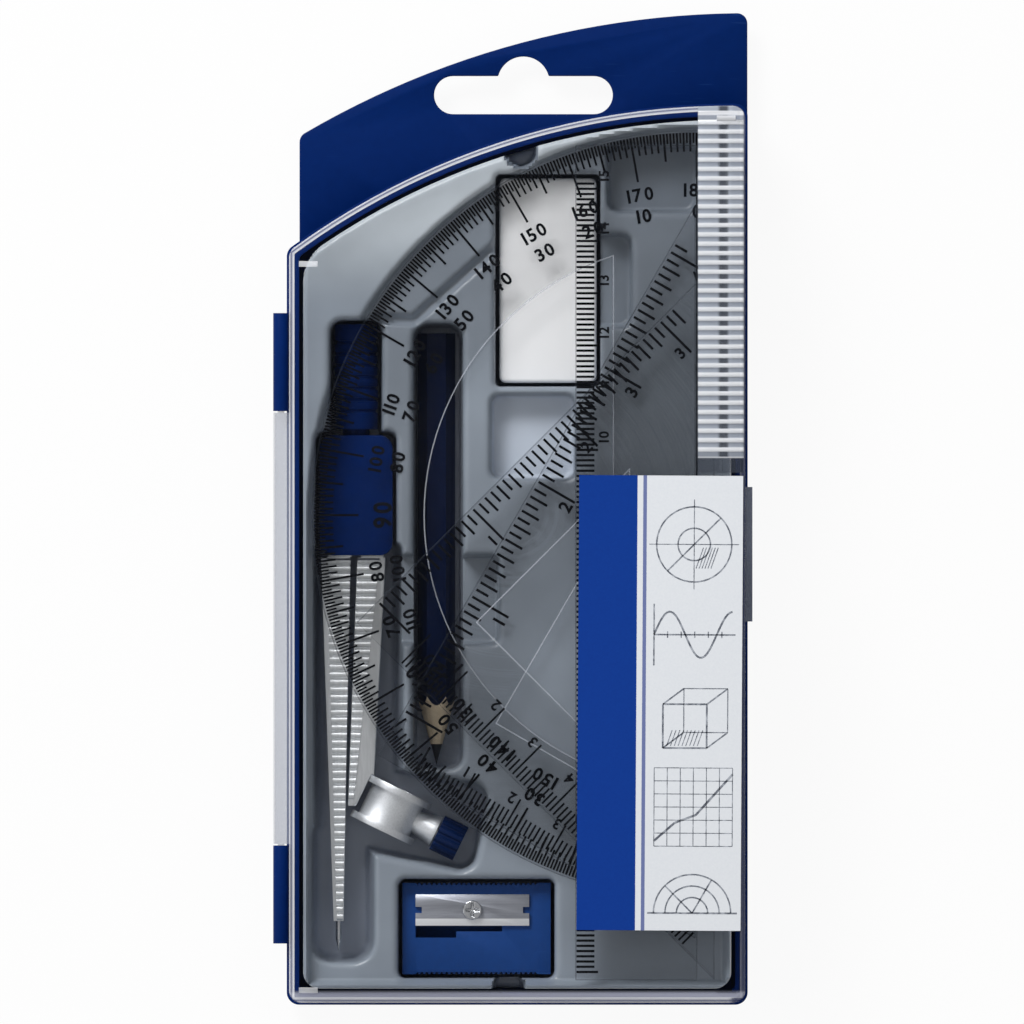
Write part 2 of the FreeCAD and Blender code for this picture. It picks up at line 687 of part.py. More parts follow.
def tray_pockets():
    """Plan bounds and floor of each pocket in the tray."""
    return {
        "handle": (("compass_x - handle_radius - pocket_gap", "compass_x + handle_radius + pocket_gap"),
                   ("cover_high", "handle_high + pocket_gap"), "handle_floor"),
        "cover": (("compass_x - cover_width / 2 - pocket_gap", "compass_x + cover_width / 2 + pocket_gap"),
                  ("cover_low - pocket_gap", "cover_high + pocket_gap"), "cover_bottom_z"),
        "legs": (("bay_left", "compass_x + leg_spread / 2 + leg_top_width + swing_room"),
                 ("knob_low - pocket_gap", "cover_low"), "pocket_floor"),
        "needle": (("bay_left", "bay_left + needle_pocket_width"),
                   ("needle_leg_end - needle_length - pocket_gap", "knob_low"), "pocket_floor"),
        "clamp": (("compass_x", "knob_right + swing_room"),
                  ("knob_low - pocket_gap", "clamp_high + pocket_gap"), "pocket_floor"),
        "pencil": (("pencil_x - pencil_radius - pocket_gap", "pencil_x + pencil_radius + pocket_gap"),
                   ("pencil_tip - pocket_gap", "pencil_high + pocket_gap"), "pocket_floor"),
        "cross": (("pencil_x - cross_recess_length / 2", "pencil_x + cross_recess_length / 2"),
                  ("cover_low - cross_recess_width", "cover_low"), "finger_floor"),
        "eraser": (("eraser_left - pocket_gap", "eraser_right + pocket_gap"),
                   ("eraser_low - pocket_gap", "eraser_high + pocket_gap"), "pocket_floor"),
        "scoop": (("eraser_right", "eraser_right + pocket_gap + eraser_scoop_reach"),
                  ("eraser_low + eraser_length / 2 - eraser_scoop_length / 2",
                   "eraser_low + eraser_length / 2 + eraser_scoop_length / 2"), "finger_floor"),
        "lower": (("eraser_left - lower_recess_room", "eraser_left - lower_recess_room + lower_recess_width"),
                  ("eraser_low - pocket_gap - lower_recess_room - lower_recess_length",
                   "eraser_low - pocket_gap - lower_recess_room"), "finger_floor"),
        "ruler_end": (("ruler_right - ruler_recess_width", "ruler_right"),
                      ("ruler_bottom + ruler_length - ruler_recess_length", "ruler_bottom + ruler_length"),
                      "finger_floor"),
        "sharpener": (("sharpener_left - pocket_gap", "sharpener_right + pocket_gap"),
                      ("sharpener_low - pocket_gap", "sharpener_high + pocket_gap"), "pocket_floor"),
    }


def plate_bay():
    """Room over the tray's floor that holds the stack of plates."""
    level = ("plate_floor", "rim_top + cut_over")
    height = "rim_top + cut_over - plate_floor"
    round_bay = cylinder("bay_round", "protractor_radius + plate_gap", height,
                         ("protractor_x", "protractor_y", "plate_floor"))
    wide = box("bay_wide", ("bay_left", "bay_right"), ("bay_bottom", "protractor_y"), level)
    right = box("bay_base", ("protractor_x", "bay_right"),
                ("protractor_y", "protractor_y + protractor_radius + plate_gap"), level)
    ruler_bay = box("bay_ruler", ("ruler_left - plate_gap", "ruler_right + plate_gap"),
                    ("protractor_y", "ruler_bottom + ruler_length + plate_gap"), level)
    limit = box("bay_limit", ("bay_left", "bay_right"), ("bay_bottom", "half_length"), level)
    return common("bay", fuse("bay_parts", round_bay, wide, right, ruler_bay), limit)


def instrument_tray():
    block = case_outline("tray_block", "tray_inset", "tray_corner", ("floor_top", "rim_top"))
    flange = case_outline("tray_flange", "base_wall + tray_fit", "cavity_corner",
                          ("floor_top", "pocket_floor"))
    void = case_outline("tray_void", "tray_inset + tray_sheet", "tray_corner",
                        ("floor_top - cut_over", "plate_floor - tray_sheet"))
    cups = []
    hollows = []
    for name, (x, y, floor) in tray_pockets().items():
        outer_x = (f"{x[0]} - tray_sheet", f"{x[1]} + tray_sheet")
        outer_y = (f"{y[0]} - tray_sheet", f"{y[1]} + tray_sheet")
        cups.append(box(f"cup_{name}", outer_x, outer_y, (f"{floor} - tray_sheet", "plate_floor")))
        hollows.append(box(f"hollow_{name}", x, y, (floor, "rim_top + cut_over")))
    under = cut("tray_under", void, *cups)
    top_edge = "arc_y + sqrt((top_arc_radius - tray_inset) ^ 2 - (arc_x - lift_notch_top_x) ^ 2)"
    notches = [
        cylinder("notch_bottom", "lift_notch_radius", "tray_rim_height + cut_over",
                 ("lift_notch_bottom_x", "-half_length + tray_inset", "plate_floor")),
        cylinder("notch_top", "lift_notch_radius", "tray_rim_height + cut_over",
                 ("lift_notch_top_x", top_edge, "plate_floor")),
    ]
    mass = fuse("tray_mass", block, flange)
    node("instrument_tray", cut("tray_cut", mass, under, plate_bay(), *hollows, *notches))


# Clear plates.

def protractor():
    level = ("plate_floor", "plate_floor + protractor_sheet")
    disc = cylinder("protractor_disc", "protractor_radius", "protractor_sheet",
                    ("protractor_x", "protractor_y", "plate_floor"))
    left = box("protractor_left", ("protractor_x - protractor_radius", "protractor_x"),
               ("protractor_y - protractor_radius", "protractor_y + protractor_radius"), level)
    strip = box("protractor_strip", ("protractor_x", "protractor_x + protractor_base"),
                ("protractor_y - protractor_radius", "protractor_y + protractor_radius"), level)
    body = fuse("protractor_body", common("protractor_half", disc, left), strip)
    through = ("plate_floor - cut_over", "plate_floor + protractor_sheet + cut_over")
    window_disc = cylinder("window_disc", "protractor_window_radius", "protractor_sheet + 2 * cut_over",
                           ("protractor_x", "protractor_y", through[0]))
    window_left = box("window_left",
                      ("protractor_x - protractor_window_radius", "protractor_x - protractor_window_chord"),
                      ("protractor_y - protractor_window_radius", "protractor_y + protractor_window_radius"),
                      through)
    node("protractor", cut("protractor_cut", body, common("protractor_window", window_disc, window_left)))


def set_square(label, size):
    """Right-angled triangle with a like window inside its bands and its longest side along Y."""
    names = ("x", "y", "z", "short", "leg", "sheet", "band", "inradius", "point")
    x, y, z, short, leg, sheet, band, inradius, point = (f"{size}_{name}" for name in names)
    turn = FreeCAD.Rotation(FreeCAD.Vector(0, 0, 1), -value(point))
    outside = taper(label + "_outside", ("0", short), leg, ("0", sheet), ("0", "0"), ("0", sheet),
                    (x, y, z), turn)
    shrink = f"(1 - {band} / {inradius})"
    window_x = f"{x} + {band} * (cos({point}) + sin({point}))"
    window_y = f"{y} + {band} * (cos({point}) - sin({point}))"
    deep = f"{sheet} + 2 * cut_over"
    inside = taper(label + "_inside", ("0", f"{short} * {shrink}"), f"{leg} * {shrink}", ("0", deep),
                   ("0", "0"), ("0", deep), (window_x, window_y, f"{z} - cut_over"), turn)
    node(label, cut(label + "_cut", outside, inside))


def ruler():
    blank = box("ruler_blank", ("ruler_left", "ruler_right"), ("ruler_bottom", "ruler_bottom + ruler_length"),
                ("ruler_z", "stack_top"))
    fall = "ruler_sheet - ruler_edge"
    bevel = taper("ruler_bevel_cut", ("0", "ruler_bevel"), fall, ("0", "ruler_length"), ("0", "0"),
                  ("0", "ruler_length"), ("ruler_left", "ruler_bottom", "stack_top"), ALONG_Y)
    node("ruler", cut("ruler_cut", blank, bevel))


# Compass: a handle on a cover, two legs on pins in the cover, a needle and a pencil clamp with its screw.

def compass_handle():
    neck = cylinder("handle_neck", "handle_neck_radius", "handle_neck_length",
                    ("compass_x", "cover_high", "compass_z"), ALONG_Y)
    grip = cylinder("handle_grip", "handle_radius", "handle_length",
                    ("compass_x", "handle_low", "compass_z"), ALONG_Y)
    first = "handle_low + (handle_length - handle_groove_pitch * (handle_groove_count - 1)) / 2"
    grooves = []
    for index in range(int(value("handle_groove_count"))):
        ring = doc.addObject("Part::Torus", f"handle_groove_{index}")
        bind(ring, Radius1="handle_radius", Radius2="handle_groove")
        place(ring, "compass_x", f"{first} + {index} * handle_groove_pitch", "compass_z", ALONG_Y)
        grooves.append(ring)
    node("compass_handle", cut("handle_cut", fuse("handle_body", neck, grip), *grooves))


def pivot_bar(name, radius, x, half_height):
    """Upright round bar on one of the two leg pivots."""
    return cylinder(name, radius, f"2 * ({half_height})", (x, "pivot_y", f"compass_z - ({half_height})"))


def compass_head_cover():
    block = box("cover_block", ("compass_x - cover_width / 2", "compass_x + cover_width / 2"),
                ("cover_low", "cover_high"), ("cover_bottom_z", "cover_bottom_z + cover_thickness"))
    skin = rounded("cover_skin", block, "cover_corner", is_upright)
    slot = box("cover_slot",
               ("compass_x - cover_width / 2 + cover_wall", "compass_x + cover_width / 2 - cover_wall"),
               ("cover_low - cut_over", "pivot_y + leg_eye_width / 2 + leg_side_gap"),
               ("compass_z - slot_half", "compass_z + slot_half"))
    seats = [
        pivot_bar(f"{side}_pin_seat", "pivot_radius + press_gap", f"{side}_pivot_x", "pin_half")
        for side in ("needle", "lead")
    ]
    node("compass_head_cover", cut("cover_cut", skin, slot, *seats))
    pins = [
        pivot_bar(f"{side}_pin", "pivot_radius", f"{side}_pivot_x", "pin_half")
        for side in ("needle", "lead")
    ]
    node("compass_pivot_pins", fuse("pivot_pins", *pins))


def leg_eye(name, x):
    """Upper end of a leg, inside the cover: a round eye with its pin hole, on a straight neck."""
    half = "leg_thickness / 2"
    eye = pivot_bar(name + "_round", "leg_eye_width / 2", x, half)
    neck = box(name + "_neck", (f"{x} - leg_eye_width / 2", f"{x} + leg_eye_width / 2"),
               ("cover_low - leg_side_gap", "pivot_y"), (f"compass_z - {half}", f"compass_z + {half}"))
    hole = pivot_bar(name + "_hole", "pivot_radius + pivot_fit", x, "slot_half")
    return cut(name, fuse(name + "_solid", eye, neck), hole)


def leg_bar(name, top, end, length):
    """Tapered bar of a leg from the cover's mouth to its end, with bounds from the compass axis."""
    thick = ("0", "leg_thickness")
    base = ("compass_x", f"cover_low - leg_side_gap - ({length})", "compass_z - leg_thickness / 2")
    return taper(name, end, length, thick, top, thick, base)


def compass_needle_leg():
    top_right = "-leg_lean - leg_spread / 2"
    top = (f"{top_right} - leg_top_width", top_right)
    tip_right = f"{top_right} - needle_leg_tip_shift"
    end = (f"{tip_right} - needle_leg_tip_width", tip_right)
    bar = leg_bar("needle_leg_bar", top, end, "needle_leg_length - leg_side_gap")
    node("compass_needle_leg", fuse("needle_leg", leg_eye("needle_eye", "needle_pivot_x"), bar))
    needle_x = f"compass_x + {tip_right} - needle_leg_tip_width / 2"
    shaft = cylinder("needle_shaft", "needle_radius", "needle_length - needle_point",
                     (needle_x, "needle_leg_end - needle_length + needle_point", "compass_z"), ALONG_Y)
    point = cone("needle_point_cone", "0", "needle_radius", "needle_point",
                 (needle_x, "needle_leg_end - needle_length", "compass_z"), ALONG_Y)
    node("compass_needle", fuse("needle", shaft, point))


def on_clamp(distance):
    """Point on the clamp's screw axis, at a distance from the middle of the bore."""
    along_x = f"clamp_x + ({distance}) * cos(clamp_tilt)"
    along_y = f"clamp_y - ({distance}) * sin(clamp_tilt)"
    return along_x, along_y, "compass_z"


def clamp_barrel(name, radius, start, length):
    """Round bar along the clamp's bore, from a start measured from the middle."""
    base = (f"clamp_x + ({start}) * sin(clamp_tilt)", f"clamp_y + ({start}) * cos(clamp_tilt)", "compass_z")
    return cylinder(name, radius, length, base, along_clamp_bore())


def compass_lead_leg():
    top_left = "leg_spread / 2 - leg_lean"
    top = (top_left, f"{top_left} + leg_top_width")
    tip_left = f"{top_left} - lead_leg_tip_shift"
    end = (tip_left, f"{tip_left} + lead_leg_tip_width")
    bar = leg_bar("lead_leg_bar", top, end, "lead_leg_length - leg_side_gap")
    room = clamp_barrel("clamp_room", "clamp_radius + clamp_seat_gap", "-clamp_length / 2 - clamp_seat_gap",
                        "clamp_length + 2 * clamp_seat_gap")
    leg = fuse("lead_leg_solid", leg_eye("lead_eye", "lead_pivot_x"), bar)
    node("compass_lead_leg", cut("lead_leg_cut", leg, room))


def compass_pencil_clamp():
    waist = clamp_barrel("clamp_waist", "clamp_waist_radius", "-clamp_length / 2", "clamp_length")
    flanges = [
        clamp_barrel("clamp_flange_low", "clamp_radius", "-clamp_length / 2", "clamp_flange"),
        clamp_barrel("clamp_flange_high", "clamp_radius", "clamp_length / 2 - clamp_flange", "clamp_flange"),
    ]
    root = "(clamp_bore_radius + clamp_waist_radius) / 2"
    boss = cone("clamp_boss", "boss_root_radius", "boss_end_radius", f"boss_end - {root}",
                on_clamp(root), along_clamp_screw())
    bore = clamp_barrel("clamp_bore", "clamp_bore_radius", "-clamp_length / 2 - cut_over",
                        "clamp_length + 2 * cut_over")
    thread = cylinder("clamp_thread", "shank_radius + shank_fit", "boss_end + cut_over", on_clamp("0"),
                      along_clamp_screw())
    node("compass_pencil_clamp", cut("clamp_cut", fuse("clamp_body", waist, *flanges, boss), bore, thread))


def clamp_thumb_screw():
    turn = along_clamp_screw()
    shank_start = "clamp_bore_radius"
    shank_end = "knob_start + shank_seat"
    shank = cylinder("screw_shank", "shank_radius", f"{shank_end} - {shank_start}", on_clamp(shank_start),
                     turn)
    node("clamp_screw_shank", shank)
    blank = cylinder("knob_blank", "knob_radius", "knob_length", on_clamp("knob_start"), turn)
    seat = cylinder("knob_seat", "shank_radius + press_gap", "shank_seat + cut_over",
                    on_clamp("knob_start - cut_over"), turn)
    flutes = []
    count = int(value("knob_flute_count"))
    for index in range(count):
        angle = f"{360 * index / count}"
        side = f"knob_radius * sin({angle})"
        base = (f"clamp_x + (knob_start - cut_over) * cos(clamp_tilt) + {side} * sin(clamp_tilt)",
                f"clamp_y - (knob_start - cut_over) * sin(clamp_tilt) + {side} * cos(clamp_tilt)",
                f"compass_z + knob_radius * cos({angle})")
        length = "knob_length + 2 * cut_over"
        flutes.append(cylinder(f"knob_flute_{index}", "knob_flute_radius", length, base, turn))
    node("clamp_screw_knob", cut("knob_cut", blank, seat, *flutes))


# Pencil: a six-sided wooden casing sharpened at its lower end, round a lead.

def pencil():
    hexagon = doc.addObject("Part::Prism", "pencil_hexagon")
    hexagon.Polygon = 6
    bind(hexagon, Circumradius="pencil_radius", Height="pencil_length")
    place(hexagon, "pencil_x", "pencil_tip", "pencil_z", ALONG_Y)
    point = cone("pencil_point", "0", "pencil_radius", "pencil_cone",
                 ("pencil_x", "pencil_tip", "pencil_z"), ALONG_Y)
    barrel = cylinder("pencil_barrel", "pencil_radius", "pencil_length - pencil_cone",
                      ("pencil_x", "pencil_tip + pencil_cone", "pencil_z"), ALONG_Y)
    sharpened = common("pencil_sharpened", hexagon, fuse("pencil_turned", point, barrel))
    lead_bore = cylinder("lead_bore", "pencil_lead_radius + press_gap", "pencil_length + 2 * cut_over",
                         ("pencil_x", "pencil_tip - cut_over", "pencil_z"), ALONG_Y)
    node("pencil_casing", cut("casing_cut", sharpened, lead_bore))
    lead_point = cone("lead_point", "0", "pencil_lead_radius", "pencil_lead_show",
                      ("pencil_x", "pencil_tip", "pencil_z"), ALONG_Y)
    lead_core = cylinder("lead_core", "pencil_lead_radius", "pencil_length - pencil_lead_show",
                         ("pencil_x", "pencil_tip + pencil_lead_show", "pencil_z"), ALONG_Y)
    node("pencil_lead", fuse("lead_whole", lead_point, lead_core))


def eraser():
    block = box("eraser_sharp", ("eraser_left", "eraser_right"), ("eraser_low", "eraser_high"),
                ("pocket_floor", "pocket_floor + eraser_thickness"))
    node("eraser_block", rounded("eraser_rounded", block, "eraser_corner", is_upright))


# Sharpener: a wedge-sided body with a tapered bore, a blade along the bore and the screw that holds it.

def sharpener_waist(name, y, z, turn):
    """Cut that draws in one long side of the sharpener between its ends."""
    run = "sharpener_length - 2 * blade_shift"
    height = ("0", "sharpener_height")
    return taper(name, ("0", run), "sharpener_wedge", height, ("sharpener_wedge", f"{run} - sharpener_wedge"),
                 height, ("sharpener_left + blade_shift", y, z), turn)


def sharpener():
    block = box("sharpener_blank", ("sharpener_left", "sharpener_right"), ("sharpener_low", "sharpener_high"),
                ("pocket_floor", "sharpener_seat"))
    bore = cone("sharpener_bore", "sharpener_mouth_radius", "sharpener_point_radius", "sharpener_bore_length",
                ("sharpener_left", "bore_y", "bore_z"), ALONG_X)
    mouth = cylinder("sharpener_mouth", "sharpener_mouth_radius", "cut_over",
                     ("sharpener_left - cut_over", "bore_y", "bore_z"), ALONG_X)
    shavings = [
        box(f"shavings_{name}", ("blade_left", f"blade_left + {run}"), (f"blade_low - {depth}", "blade_low"),
            ("bore_z", "sharpener_seat + cut_over"))
        for name, run, depth in (("deep", "shavings_step", "shavings_deep"),
                                 ("shallow", "shavings_run", "shavings_shallow"))
    ]
    screw_hole = cylinder("screw_hole", "blade_screw_shank_radius + blade_screw_gap",
                          "blade_screw_length + cut_over",
                          ("screw_x", "screw_y", "sharpener_seat - blade_screw_length"))
    waists = [
        sharpener_waist("sharpener_waist_low", "sharpener_low", "pocket_floor", ALONG_Z),
        sharpener_waist("sharpener_waist_high", "sharpener_high", "sharpener_seat", UPSIDE_DOWN),
    ]
    node("sharpener_body", cut("sharpener_cut", block, bore, mouth, *shavings, screw_hole, *waists))
    blade = box("blade_blank", ("blade_left", "blade_left + blade_length"), ("blade_low", "blade_high"),
                ("sharpener_seat", "sharpener_seat + blade_sheet"))
    notches = [
        box(f"blade_notch_{side}", (f"{edge} - blade_notch", f"{edge} + blade_notch"),
            ("screw_y - blade_notch / 2", "screw_y + blade_notch / 2"),
            ("sharpener_seat - cut_over", "sharpener_seat + blade_sheet + cut_over"))
        for side, edge in (("left", "blade_left"), ("right", "blade_left + blade_length"))
    ]
    blade_hole = cylinder("blade_hole", "blade_screw_shank_radius + blade_screw_gap",
                          "blade_sheet + 2 * cut_over",
                          ("screw_x", "screw_y", "sharpener_seat - cut_over"))
    node("sharpener_blade", cut("blade_cut", blade, blade_hole, *notches))
    head_z = "sharpener_seat + blade_sheet"
    head = cylinder("screw_head", "blade_screw_radius", "blade_screw_head", ("screw_x", "screw_y", head_z))
    shank = cylinder("screw_body", "blade_screw_shank_radius", "blade_screw_length + blade_sheet",
                     ("screw_x", "screw_y", "sharpener_seat - blade_screw_length"))
    slots = [
        box(f"screw_slot_{way}",
            (f"screw_x - {across}", f"screw_x + {across}"), (f"screw_y - {along}", f"screw_y + {along}"),
            (f"{head_z} + blade_screw_head - blade_screw_slot", f"{head_z} + blade_screw_head + cut_over"))
        for way, across, along in (("one", "blade_screw_cross", "blade_screw_slot / 2"),
                                   ("two", "blade_screw_slot / 2", "blade_screw_cross"))
    ]
    node("sharpener_screw", cut("screw_cut", fuse("screw_whole", head, shank), *slots))


base_shell()
lid_shell()
front_label()
hang_tab()
instrument_tray()
protractor()
set_square("set_square_60", "square60")
set_square("set_square_45", "square45")
ruler()
compass_handle()
compass_head_cover()
compass_needle_leg()
compass_lead_leg()
compass_pencil_clamp()
clamp_thumb_screw()
pencil()
eraser()
sharpener()

doc.recompute()

# Check every object, then write one file for each sub-part.
for item in doc.Objects:
    if "Invalid" in item.State or "Error" in item.State:
        raise RuntimeError(f"{item.Name} failed: {item.State}")
for solid in nodes:
    if solid.Shape.isNull() or not solid.Shape.isValid() or not solid.Shape.Solids:
        raise RuntimeError(f"{solid.Label} has no valid solid")

os.makedirs("parts", exist_ok=True)
for solid in nodes:
    solid.Shape.exportStep(f"parts/{solid.Label}.step")
    bounds = solid.Shape.BoundBox
    print(f"{solid.Label}: {len(solid.Shape.Solids)} solid(s), {solid.Shape.Volume:.1f} mm3, "
          f"x {bounds.XMin:.2f}..{bounds.XMax:.2f}, y {bounds.YMin:.2f}..{bounds.YMax:.2f}, "
          f"z {bounds.ZMin:.2f}..{bounds.ZMax:.2f}")
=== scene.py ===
"""Looks of a drafting instrument case: clear lid, navy base, formed tray and the instruments in it."""
import logging
import math
from dataclasses import dataclass
from enum import Enum
from typing import Callable, Iterable, Optional, Sequence, Union

import bmesh
import bpy
import numpy as np
from mathutils import Matrix, Vector
from mathutils.geometry import convex_hull_2d, intersect_point_line


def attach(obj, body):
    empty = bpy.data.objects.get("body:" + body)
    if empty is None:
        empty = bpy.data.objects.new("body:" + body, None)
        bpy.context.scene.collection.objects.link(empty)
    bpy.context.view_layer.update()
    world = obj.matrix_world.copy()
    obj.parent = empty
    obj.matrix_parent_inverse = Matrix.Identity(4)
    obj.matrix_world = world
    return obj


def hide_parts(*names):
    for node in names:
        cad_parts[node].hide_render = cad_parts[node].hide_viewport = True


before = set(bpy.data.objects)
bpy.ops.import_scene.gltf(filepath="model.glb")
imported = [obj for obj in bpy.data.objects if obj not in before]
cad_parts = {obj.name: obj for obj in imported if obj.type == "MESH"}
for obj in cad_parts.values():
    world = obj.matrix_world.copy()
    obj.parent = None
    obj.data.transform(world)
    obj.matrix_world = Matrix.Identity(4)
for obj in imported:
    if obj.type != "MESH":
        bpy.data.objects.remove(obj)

LOG = logging.getLogger("instrument_case")
MM = 0.001
INCH = 25.4
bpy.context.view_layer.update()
Point = tuple[float, float]
Input = Union[float, tuple, bpy.types.NodeSocket]


class Body(Enum):
    """Bodies that a piece can ride on."""

    BASE = "case_base"
    LID = "case_lid"
    TAB = "sliding_tab"
    NEEDLE_SIDE = "needle_side"
    PENCIL_SIDE = "pencil_side"
    SCREW = "clamp_screw"


class Along(Enum):
    """Ways that a row of numbers can read along a straight edge."""

    FORWARD = 1
    BACKWARD = -1


def tone(red: int, green: int, blue: int) -> tuple[float, float, float, float]:
    """Turn a colour of 0 to 255, as a screen shows it, into scene light.

    Args:
        red: Red part.
        green: Green part.
        blue: Blue part.

    Returns:
        The linear colour with full alpha.
    """
    parts = []
    for part in (red, green, blue):
        share = part / 255
        parts.append(share / 12.92 if share <= 0.04045 else ((share + 0.055) / 1.055) ** 2.4)
    return (*parts, 1.0)


class Graph:
    """Node tree with short calls for the maths that the finishes share."""

    def __init__(self, tree: bpy.types.NodeTree) -> None:
        """Keep the tree."""
        self.tree = tree
        self.place: Optional[bpy.types.Node] = None

    def add(self, kind: str, **settings: object) -> bpy.types.Node:
        """Add a node.

        Args:
            kind: Blender's name of the node type.
            **settings: Properties to set on it.

        Returns:
            The node.
        """
        node = self.tree.nodes.new(kind)
        for name, value in settings.items():
            setattr(node, name, value)
        return node

    def feed(self, socket: bpy.types.NodeSocket, value: Input) -> None:
        """Link a socket to another one, or set its value.

        Args:
            socket: Socket to feed.
            value: Number, colour or socket.
        """
        if isinstance(value, bpy.types.NodeSocket):
            self.tree.links.new(value, socket)
        else:
            socket.default_value = value

    def math(self, operation: str, *values: Input) -> bpy.types.NodeSocket:
        """Add a math node.

        Args:
            operation: Name of the operation.
            *values: Its inputs, numbers or sockets.

        Returns:
            The result's socket.
        """
        node = self.add("ShaderNodeMath", operation=operation)
        for socket, value in zip(node.inputs, values):
            self.feed(socket, value)
        return node.outputs[0]

    def span(self, value: Input, low: float, high: float, start: float = 0.0,
             end: float = 1.0) -> bpy.types.NodeSocket:
        """Map a value between two limits to a soft step.

        Args:
            value: The value.
            low: Value that gives the start.
            high: Value that gives the end.
            start: Result at low.
            end: Result at high.

        Returns:
            The step's socket.
        """
        node = self.add("ShaderNodeMapRange", interpolation_type="SMOOTHSTEP")
        for socket, number in zip(node.inputs, (value, low, high, start, end)):
            self.feed(socket, number)
        return node.outputs[0]

    def mix(self, factor: Input, first: Input, second: Input) -> bpy.types.NodeSocket:
        """Mix two colours.

        Args:
            factor: Share of the second one.
            first: Colour at 0.
            second: Colour at 1.

        Returns:
            The colour's socket.
        """
        node = self.add("ShaderNodeMix", data_type="RGBA")
        for index, value in ((0, factor), (6, first), (7, second)):
            self.feed(node.inputs[index], value)
        return node.outputs[2]

    def scaled(self, triple: Input, factor: Input) -> bpy.types.NodeSocket:
        """Multiply a colour or a place by a value.

        Args:
            triple: The colour or place, as three parts or a socket.
            factor: The value.

        Returns:
            The result's socket.
        """
        node = self.add("ShaderNodeVectorMath", operation="SCALE")
        self.feed(node.inputs[0], triple)
        self.feed(node.inputs["Scale"], factor)
        return node.outputs[0]

    def reach(self, across: Input, along: Input) -> bpy.types.NodeSocket:
        """Give the length of a slant from its two legs.

        Args:
            across: One leg.
            along: The other leg, square to it.

        Returns:
            The length's socket.
        """
        squares = self.math("ADD", self.math("MULTIPLY", across, across), self.math("MULTIPLY", along, along))
        return self.math("SQRT", squares)

    def spot(self) -> bpy.types.NodeSocket:
        """Find the place on the piece in Object coordinates.

        Returns:
            The place's socket.
        """
        if self.place is None:
            self.place = self.add("ShaderNodeTexCoord")
        return self.place.outputs["Object"]

    def level(self) -> bpy.types.NodeSocket:
        """Tell level faces of the piece from upright ones.

        Returns:
            A value of 1 on level faces and 0 on upright ones.
        """
        self.spot()
        split = self.add("ShaderNodeSeparateXYZ")
        self.feed(split.inputs[0], self.place.outputs["Normal"])
        return self.span(self.math("ABSOLUTE", split.outputs[2]), 0.3, 0.8)

    def axes(self) -> tuple[bpy.types.NodeSocket, ...]:
        """Find the place on the piece in millimetres.

        Returns:
            The three values' sockets.
        """
        split = self.add("ShaderNodeSeparateXYZ")
        self.feed(split.inputs[0], self.scaled(self.spot(), 1 / MM))
        return tuple(split.outputs)

    def noise(self, scale: Input, detail: float = 2.0, stretch: Sequence[float] = (1, 1, 1),
              turn: float = 0.0) -> bpy.types.NodeSocket:
        """Add a noise on the piece.

        Args:
            scale: Cells in a metre.
            detail: Octaves.
            stretch: Scale on each axis.
            turn: Turn about the upright axis, in degrees.

        Returns:
            The noise's value.
        """
        mapping = self.add("ShaderNodeMapping")
        self.feed(mapping.inputs["Vector"], self.spot())
        mapping.inputs["Rotation"].default_value = (0, 0, math.radians(turn))
        mapping.inputs["Scale"].default_value = stretch
        node = self.add("ShaderNodeTexNoise")
        self.feed(node.inputs["Vector"], mapping.outputs[0])
        self.feed(node.inputs["Scale"], scale)
        node.inputs["Detail"].default_value = detail
        return node.outputs[0]

    def bump(self, height: Input, strength: float, distance: float) -> bpy.types.NodeSocket:
        """Turn a height into a normal.

        Args:
            height: The height.
            strength: Strength of the bump.
            distance: Depth in millimetres.

        Returns:
            The normal's socket.
        """
        node = self.add("ShaderNodeBump")
        node.inputs["Strength"].default_value = strength
        node.inputs["Distance"].default_value = distance * MM
        self.feed(node.inputs["Height"], height)
        return node.outputs[0]

    def shared(self, group: bpy.types.NodeTree, **inputs: Input) -> dict[str, bpy.types.NodeSocket]:
        """Place a shared effect.

        Args:
            group: The effect.
            **inputs: Its values by name.

        Returns:
            Its outputs by name.
        """
        node = self.add("ShaderNodeGroup", node_tree=group)
        for name, value in inputs.items():
            self.feed(node.inputs[name], value)
        return {socket.name: socket for socket in node.outputs}


